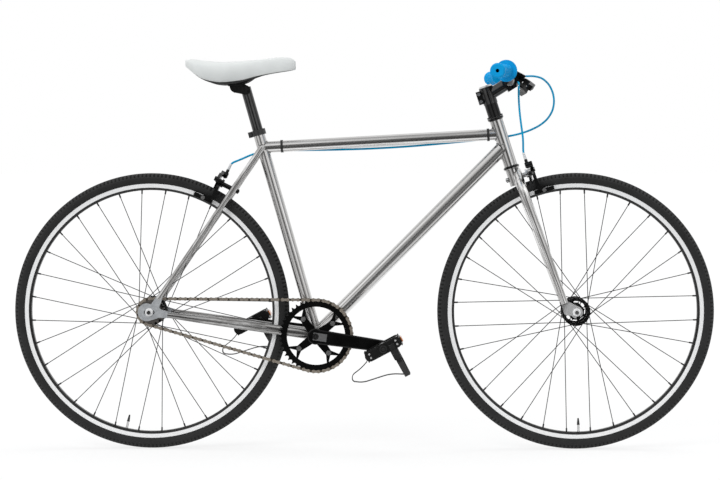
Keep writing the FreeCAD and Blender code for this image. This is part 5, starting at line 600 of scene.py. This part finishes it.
def tyre_piece(name, centre, body, node):
    section = tyre_section()
    steps = TREAD_BLOCKS * STEPS_A_BLOCK
    points = []
    for step in range(steps):
        angle = 2 * math.pi * step / steps
        notch = NOTCH_DEPTH if step % STEPS_A_BLOCK < NOTCH_STEPS else 0
        for across, radius, cut in section:
            reach = (radius - (notch if cut else 0)) * MM
            points.append(centre + Vector((math.cos(angle) * reach, across * MM, math.sin(angle) * reach)))
    faces = rings_to_faces(steps, len(section), True)
    made = mesh_piece(name, points, faces, NODES[node].material_slots[0].material, body)
    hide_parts(node)


for wheel, axle in WHEELS:
    tyre_piece(f"{wheel}_tyre_tread", axle, f"{wheel}_wheel", f"{wheel}_tyre")


# Saddle: a padded cover over the shell, from arched sections between tail and nose


SADDLE_TAIL = Vector((-0.43778, 0, 0.90855))
SADDLE_LENGTH = 0.269
SADDLE_HALF_WIDTH = 0.076
SADDLE_HEIGHT = 0.067
# Shares of the length, of the half width and of the height: crown, skirt's edge and vault of the underside.
SADDLE_SHARES = ((0, 0.55, 0.87, 0.73, 0.75), (0.05, 0.86, 0.905, 0.53, 0.57), (0.16, 1, 0.85, 0.2, 0.49),
                 (0.33, 0.9, 0.8, 0.015, 0.44), (0.515, 0.57, 0.83, 0.1, 0.47), (0.7, 0.34, 0.9, 0.36, 0.54),
                 (0.87, 0.27, 0.975, 0.49, 0.61), (0.96, 0.23, 0.95, 0.55, 0.6), (1, 0.13, 0.8, 0.6, 0.63))
# How far the cover is drawn over the shell's edge along the length: fully at both ends, less at the belly.
WRAP_SHARES = ((0, 1), (0.16, 1), (0.3, 0.6), (0.56, 0.45), (0.72, 1), (1, 1))
WRAP_DROP = 0.0068
WRAP_WIDTH = 0.0012
END_LAP = 0.0025
END_SHARE = 0.05


def limited_slope(rows, index, column):
    """A column's slope at one row, level where the column turns."""
    def step_slope(low, high):
        return (rows[high][column] - rows[low][column]) / (rows[high][0] - rows[low][0])

    if index == 0:
        return step_slope(0, 1)
    if index == len(rows) - 1:
        return step_slope(index - 1, index)
    back, fore = step_slope(index - 1, index), step_slope(index, index + 1)
    return 0 if back * fore <= 0 else 2 * back * fore / (back + fore)


def spline_row(rows, place):
    """The rows of a table taken smoothly at one place along their first column."""
    index = max(i for i in range(len(rows) - 1) if rows[i][0] <= place)
    low, high = rows[index], rows[index + 1]
    step = high[0] - low[0]
    share = (place - low[0]) / step
    square, cube = share ** 2, share ** 3
    row = []
    for column in range(1, len(low)):
        start, end = limited_slope(rows, index, column), limited_slope(rows, index + 1, column)
        row.append((2 * cube - 3 * square + 1) * low[column] + (3 * square - 2 * cube) * high[column]
                   + (cube - 2 * square + share) * step * start + (cube - square) * step * end)
    return row


def saddle_ring(place):
    wide, crown, skirt, vault = spline_row(SADDLE_SHARES, place)
    wrap, = spline_row(WRAP_SHARES, place)
    half = SADDLE_HALF_WIDTH * wide + WRAP_WIDTH * wrap
    low, top, roof = SADDLE_HEIGHT * skirt - WRAP_DROP * wrap, SADDLE_HEIGHT * crown, SADDLE_HEIGHT * vault
    rise = top - low
    edge, shoulder, brow = half * (0.92 + 0.05 * wrap), half * 0.7, top - rise * 0.1
    flank = low + rise * 0.5
    ring = arc_points((shoulder, brow), (0, top), (-shoulder, brow), 16)
    ring += arc_points((-shoulder, brow), (-half, flank), (-edge, low), 10)
    ring += arc_points((-edge, low), (0, roof), (edge, low), 14)
    ring += arc_points((edge, low), (half, flank), (shoulder, brow), 10)
    lap = END_LAP * (max(place - (1 - END_SHARE), 0) - max(END_SHARE - place, 0)) / END_SHARE
    return [SADDLE_TAIL + Vector((SADDLE_LENGTH * place + lap, across, height)) for across, height in ring]


def saddle_piece():
    places = [0, 0.012, 0.03] + [0.05 + 0.91 * step / 44 for step in range(45)] + [0.978, 0.99, 1]
    rings = [saddle_ring(place) for place in places]
    points = [point for ring in rings for point in ring]
    faces = rings_to_faces(len(rings), len(rings[0]), False)
    made = mesh_piece("saddle_cover", points, faces, vinyl(), "seat")
    smooth = made.modifiers.new("smooth", "SMOOTH")
    smooth.factor = 0.5
    smooth.iterations = 4
    rounder = made.modifiers.new("rounder", "SUBSURF")
    rounder.levels = 1
    rounder.render_levels = 1
    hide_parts("saddle")


saddle_piece()


# Turned and small pieces


def turned(name, foot, line, profile, material, body, sides=32):
    """A piece turned about a line, from its profile of (radius, height) in millimetres."""
    line = line.normalized()
    first = line.orthogonal().normalized()
    second = line.cross(first)
    points = []
    for radius, height in profile:
        for step in range(sides):
            angle = 2 * math.pi * step / sides
            out = first * math.cos(angle) + second * math.sin(angle)
            points.append(foot + (line * height + out * radius) * MM)
    mesh_piece(name, points, rings_to_faces(len(profile), sides, False), material, body)


def bead(name, path, middle, radius_at, material, body, slot):
    """A round bead along a closed path about a middle; its radius goes with the number of the point."""
    sides = 8
    points = []
    for index, point in enumerate(path):
        ahead = (path[(index + 1) % len(path)] - path[index - 1]).normalized()
        out = point - middle
        out = (out - ahead * out.dot(ahead)).normalized()
        lift = ahead.cross(out)
        for step in range(sides):
            angle = 2 * math.pi * step / sides
            points.append(point + (out * math.cos(angle) + lift * math.sin(angle)) * radius_at(index))
    mesh_piece(name, points, rings_to_faces(len(path), sides, True), material, body)


ferrule = white_plastic()
FERRULE = ((2.7, 0.4), (3.4, 0.4), (3.5, 1), (3.5, 8), (3.2, 9), (3.2, 15), (2.9, 16.4), (2.6, 16.4))
for wheel, brake, body in (("front", FRONT_CALIPER, "steering"), ("rear", REAR_CALIPER, "frame")):
    turned(f"{wheel}_ferrule", brake.at(WIRE_ACROSS, HOUSING_STOP, WIRE_OUT), brake.up, FERRULE, ferrule,
           body)

# Caps in the cranks' ends, each with a socket, and the pedals' outer caps, rims and cage screws

cap_black = satin_black("cap_black", level=0.004, rough=0.25)
screw_steel = plated("screw_steel", level=0.7, rough=0.22)
CAP = ((7.3, -2), (7.3, 0.8), (6.6, 1.6), (4.6, 1.6), (4.1, 1.3), (4.0, -0.6))
SCREW = ((2.7, -0.6), (2.7, 0.9), (2.2, 1.5), (1.3, 1.7), (1.2, 0.9))
PEDAL_CAP = ((10.2, -0.5), (10.2, 1.2), (9.4, 2.2), (6, 2.9), (3.2, 3), (2.8, 2.2))
CRANK_CAP_SEAT = 0.07
PEDAL_END = 0.154
SCREW_PLACES = ((-36, 5), (-36, -5), (36, 5), (36, -5))
RIM_HALF_LENGTH = 33
RIM_END_RADIUS = 10.5
RIM_BEAD = 0.0011


def pedal_place(plate, x, y):
    """A point on a pedal's outer plate, in millimetres towards the toe and up from its middle."""
    return plate + (PEDAL_TOE * x + PEDAL_LEVEL * y) * MM


def pedal_trim(side, outward):
    eye = PIVOTS[f"{side}_pedal_spin"]
    plate = Vector((eye.x, outward.y * PEDAL_END, eye.z))
    pedal = f"{side}_pedal"
    turned(f"{side}_pedal_cap", plate, outward, PEDAL_CAP, cap_black, pedal)
    for number, (x, y) in enumerate(SCREW_PLACES):
        turned(f"{side}_pedal_screw_{number}", pedal_place(plate, x, y), outward, SCREW, screw_steel, pedal,
               sides=16)
    loop = []
    for end in (1, -1):
        for step in range(25):
            angle = math.pi * (step / 24 - 0.5)
            loop.append(pedal_place(plate, end * (RIM_HALF_LENGTH + RIM_END_RADIUS * math.cos(angle)),
                                    end * RIM_END_RADIUS * math.sin(angle)))
    bead(f"{side}_pedal_rim", loop, plate, lambda index: RIM_BEAD, cap_black, pedal, "pedal_black")


for side, outward in (("right", -LEFT), ("left", LEFT)):
    turned(f"{side}_crank_cap", BRACKET + outward * CRANK_CAP_SEAT, outward, CAP, cap_black, "crankset")
    pedal_trim(side, outward)


# Weld beads where the frame's tubes meet


weld_steel = brushed_steel("weld_steel", LEFT, 0.31)


def weld_radius(index):
    """A bead that ripples at every few points and swells slowly."""
    return 0.0019 + 0.00022 * math.cos(index * 1.57) + 0.0001 * math.sin(index * 0.37)


def weld(name, start, line, radius, other, other_line, other_radius, toward):
    """A bead round one tube where it runs into another; toward is 1 or -1 along the first tube's line."""
    line = line.normalized()
    other_line = other_line.normalized()
    side = line.cross(LEFT).normalized()
    flat = line - other_line * line.dot(other_line)
    path = []
    turns = 220
    for step in range(turns):
        angle = 2 * math.pi * step / turns
        foot = start + (side * math.cos(angle) + LEFT * math.sin(angle)) * radius
        gap = foot - other
        gap -= other_line * gap.dot(other_line)
        a, b, c = flat.dot(flat), 2 * gap.dot(flat), gap.dot(gap) - other_radius ** 2
        reach = (-b - toward * math.sqrt(max(b * b - 4 * a * c, 0))) / (2 * a)
        path.append(foot + line * reach)
    middle = sum(path, Vector()) / len(path)
    bead(name, path, middle, weld_radius, weld_steel, "frame", "raw_steel")


weld("top_tube_head_weld", TOP_START, TOP_LINE, TOP_RADIUS, CROWN, STEER, HEAD_RADIUS, 1)
weld("top_tube_seat_weld", TOP_START, TOP_LINE, TOP_RADIUS, BRACKET, SEAT_LINE, SEAT_RADIUS, -1)
weld("down_tube_head_weld", BRACKET, DOWN_LINE, DOWN_RADIUS, CROWN, STEER, HEAD_RADIUS, 1)
weld("down_tube_bracket_weld", BRACKET, DOWN_LINE, DOWN_RADIUS, BRACKET, LEFT, SHELL_RADIUS, -1)
weld("seat_tube_bracket_weld", BRACKET, SEAT_LINE, SEAT_RADIUS, BRACKET, LEFT, SHELL_RADIUS, -1)


# The rear brake's housing loop between the turning bar and the frame, copied as a piece of its own


def bending_loop():
    node = NODES["rear_brake_loop"]
    made = bpy.data.objects.new("rear_brake_loop_bending", node.data.copy())
    bpy.context.scene.collection.objects.link(made)
    made.data.materials.clear()
    made.data.materials.append(node.material_slots[0].material)
    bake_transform(made)
    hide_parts("rear_brake_loop")


bending_loop()


# Stage: a pale floor, a plain studio and the camera


FLOOR_NEAR = -0.7
FLOOR_FAR = 150
FLOOR_LEVEL = -0.0008


def backdrop_rays(graph):
    """1 where the camera, a mirror or glass looks at the backdrop."""
    path = graph.node("ShaderNodeLightPath").outputs
    seen = graph.maths("MAXIMUM", path["Is Camera Ray"], path["Is Glossy Ray"])
    return graph.maths("MAXIMUM", seen, path["Is Transmission Ray"])


def pale_floor():
    """A floor that shows as white and still takes the object's shadow."""
    corners = ((-FLOOR_FAR, FLOOR_NEAR), (FLOOR_FAR, FLOOR_NEAR), (FLOOR_FAR, FLOOR_FAR),
               (-FLOOR_FAR, FLOOR_FAR))
    mesh = bpy.data.meshes.new("floor")
    mesh.from_pydata([(x, y, FLOOR_LEVEL) for x, y in corners], [], [(0, 1, 2, 3)])
    made = bpy.data.objects.new("floor", mesh)
    bpy.context.scene.collection.objects.link(made)
    material = bpy.data.materials.new("pale_floor")
    material.use_nodes = True
    graph = Graph(material.node_tree)
    plain = graph.tree.nodes["Principled BSDF"]
    graph.fill(plain, {"Base Color": (*grey(0.8), 1), "Roughness": 0.9})
    glow = graph.node("ShaderNodeEmission", Strength=1.09)
    share = graph.maths("MULTIPLY", backdrop_rays(graph), 0.68)
    mix = graph.node("ShaderNodeMixShader", _0=share, _1=plain.outputs[0], _2=glow.outputs[0])
    graph.fill(graph.tree.nodes["Material Output"], {"Surface": mix.outputs[0]})
    mesh.materials.append(material)


def studio():
    """White behind the object; dim on the camera's side, with a bright band above and strips at the ends."""
    world = bpy.data.worlds.new("studio")
    bpy.context.scene.world = world
    world.use_nodes = True
    graph = Graph(world.node_tree)
    graph.tree.nodes.clear()
    place = graph.node("ShaderNodeTexCoord").outputs["Generated"]
    parts = graph.node("ShaderNodeSeparateXYZ", Vector=place).outputs
    band_levels = ((0.0, 0.1), (0.14, 0.07), (0.3, 0.12), (0.42, 0.95), (0.66, 1.15), (0.8, 0.5), (1.0, 0.4))
    strip_levels = ((0.0, 0.0), (0.16, 0.04), (0.3, 1.0), (0.7, 1.05), (0.86, 0.35), (1.0, 0.3))
    band = graph.ramp(parts["Z"], *((height, grey(level)) for height, level in band_levels))
    strips = graph.ramp(graph.maths("ABSOLUTE", parts["X"]),
                        *((reach, grey(level)) for reach, level in strip_levels))
    near = graph.blend(graph.span(parts["Z"], -0.4, -0.08), band, strips, kind="LIGHTEN")
    room = graph.blend(graph.span(parts["Y"], -0.25, 0.25), near, WHITE)
    camera_ray = graph.node("ShaderNodeLightPath").outputs["Is Camera Ray"]
    seen = graph.node("ShaderNodeBackground", Color=graph.blend(camera_ray, room, WHITE))
    fill = graph.node("ShaderNodeBackground", Color=(0.97, 0.985, 1, 1), Strength=0.6)
    mix = graph.node("ShaderNodeMixShader", _0=backdrop_rays(graph), _1=fill.outputs[0], _2=seen.outputs[0])
    graph.node("ShaderNodeOutputWorld", Surface=mix.outputs[0])


def lamp(name, toward, power, spread):
    """A far, broad lamp that shines evenly along one direction and leaves no hot spot in metal."""
    data = bpy.data.lights.new(name, "SUN")
    data.energy = power
    data.angle = math.radians(spread)
    made = bpy.data.objects.new(name, data)
    made.rotation_euler = Vector(toward).to_track_quat("-Z", "Y").to_euler()
    made.visible_glossy = False
    bpy.context.scene.collection.objects.link(made)


def camera():
    """The photograph's camera, with its focal length in pixels of the 720-pixel wide picture."""
    focal_pixels, photo_width, place = 2414.2, 720, (0.1502, -5.9998, 0.7269)
    yaw, pitch, roll = math.radians(-1.51), math.radians(-1.98), math.radians(-0.05)
    data = bpy.data.cameras.new("camera")
    data.sensor_width = 36
    data.lens = focal_pixels / photo_width * data.sensor_width
    data.clip_end = 100
    made = bpy.data.objects.new("camera", data)
    made.matrix_world = (Matrix.Translation(place) @ Matrix.Rotation(-yaw, 4, "Z")
                         @ Matrix.Rotation(math.pi / 2 + pitch, 4, "X") @ Matrix.Rotation(roll, 4, "Z"))
    bpy.context.scene.collection.objects.link(made)
    bpy.context.scene.camera = made


bpy.context.scene.view_settings.view_transform = "Standard"
pale_floor()
studio()
lamp("key", toward=(0.45, 0.75, -0.62), power=1.2, spread=30)
lamp("overhead", toward=(-0.2, -0.15, -1), power=0.9, spread=40)
camera()
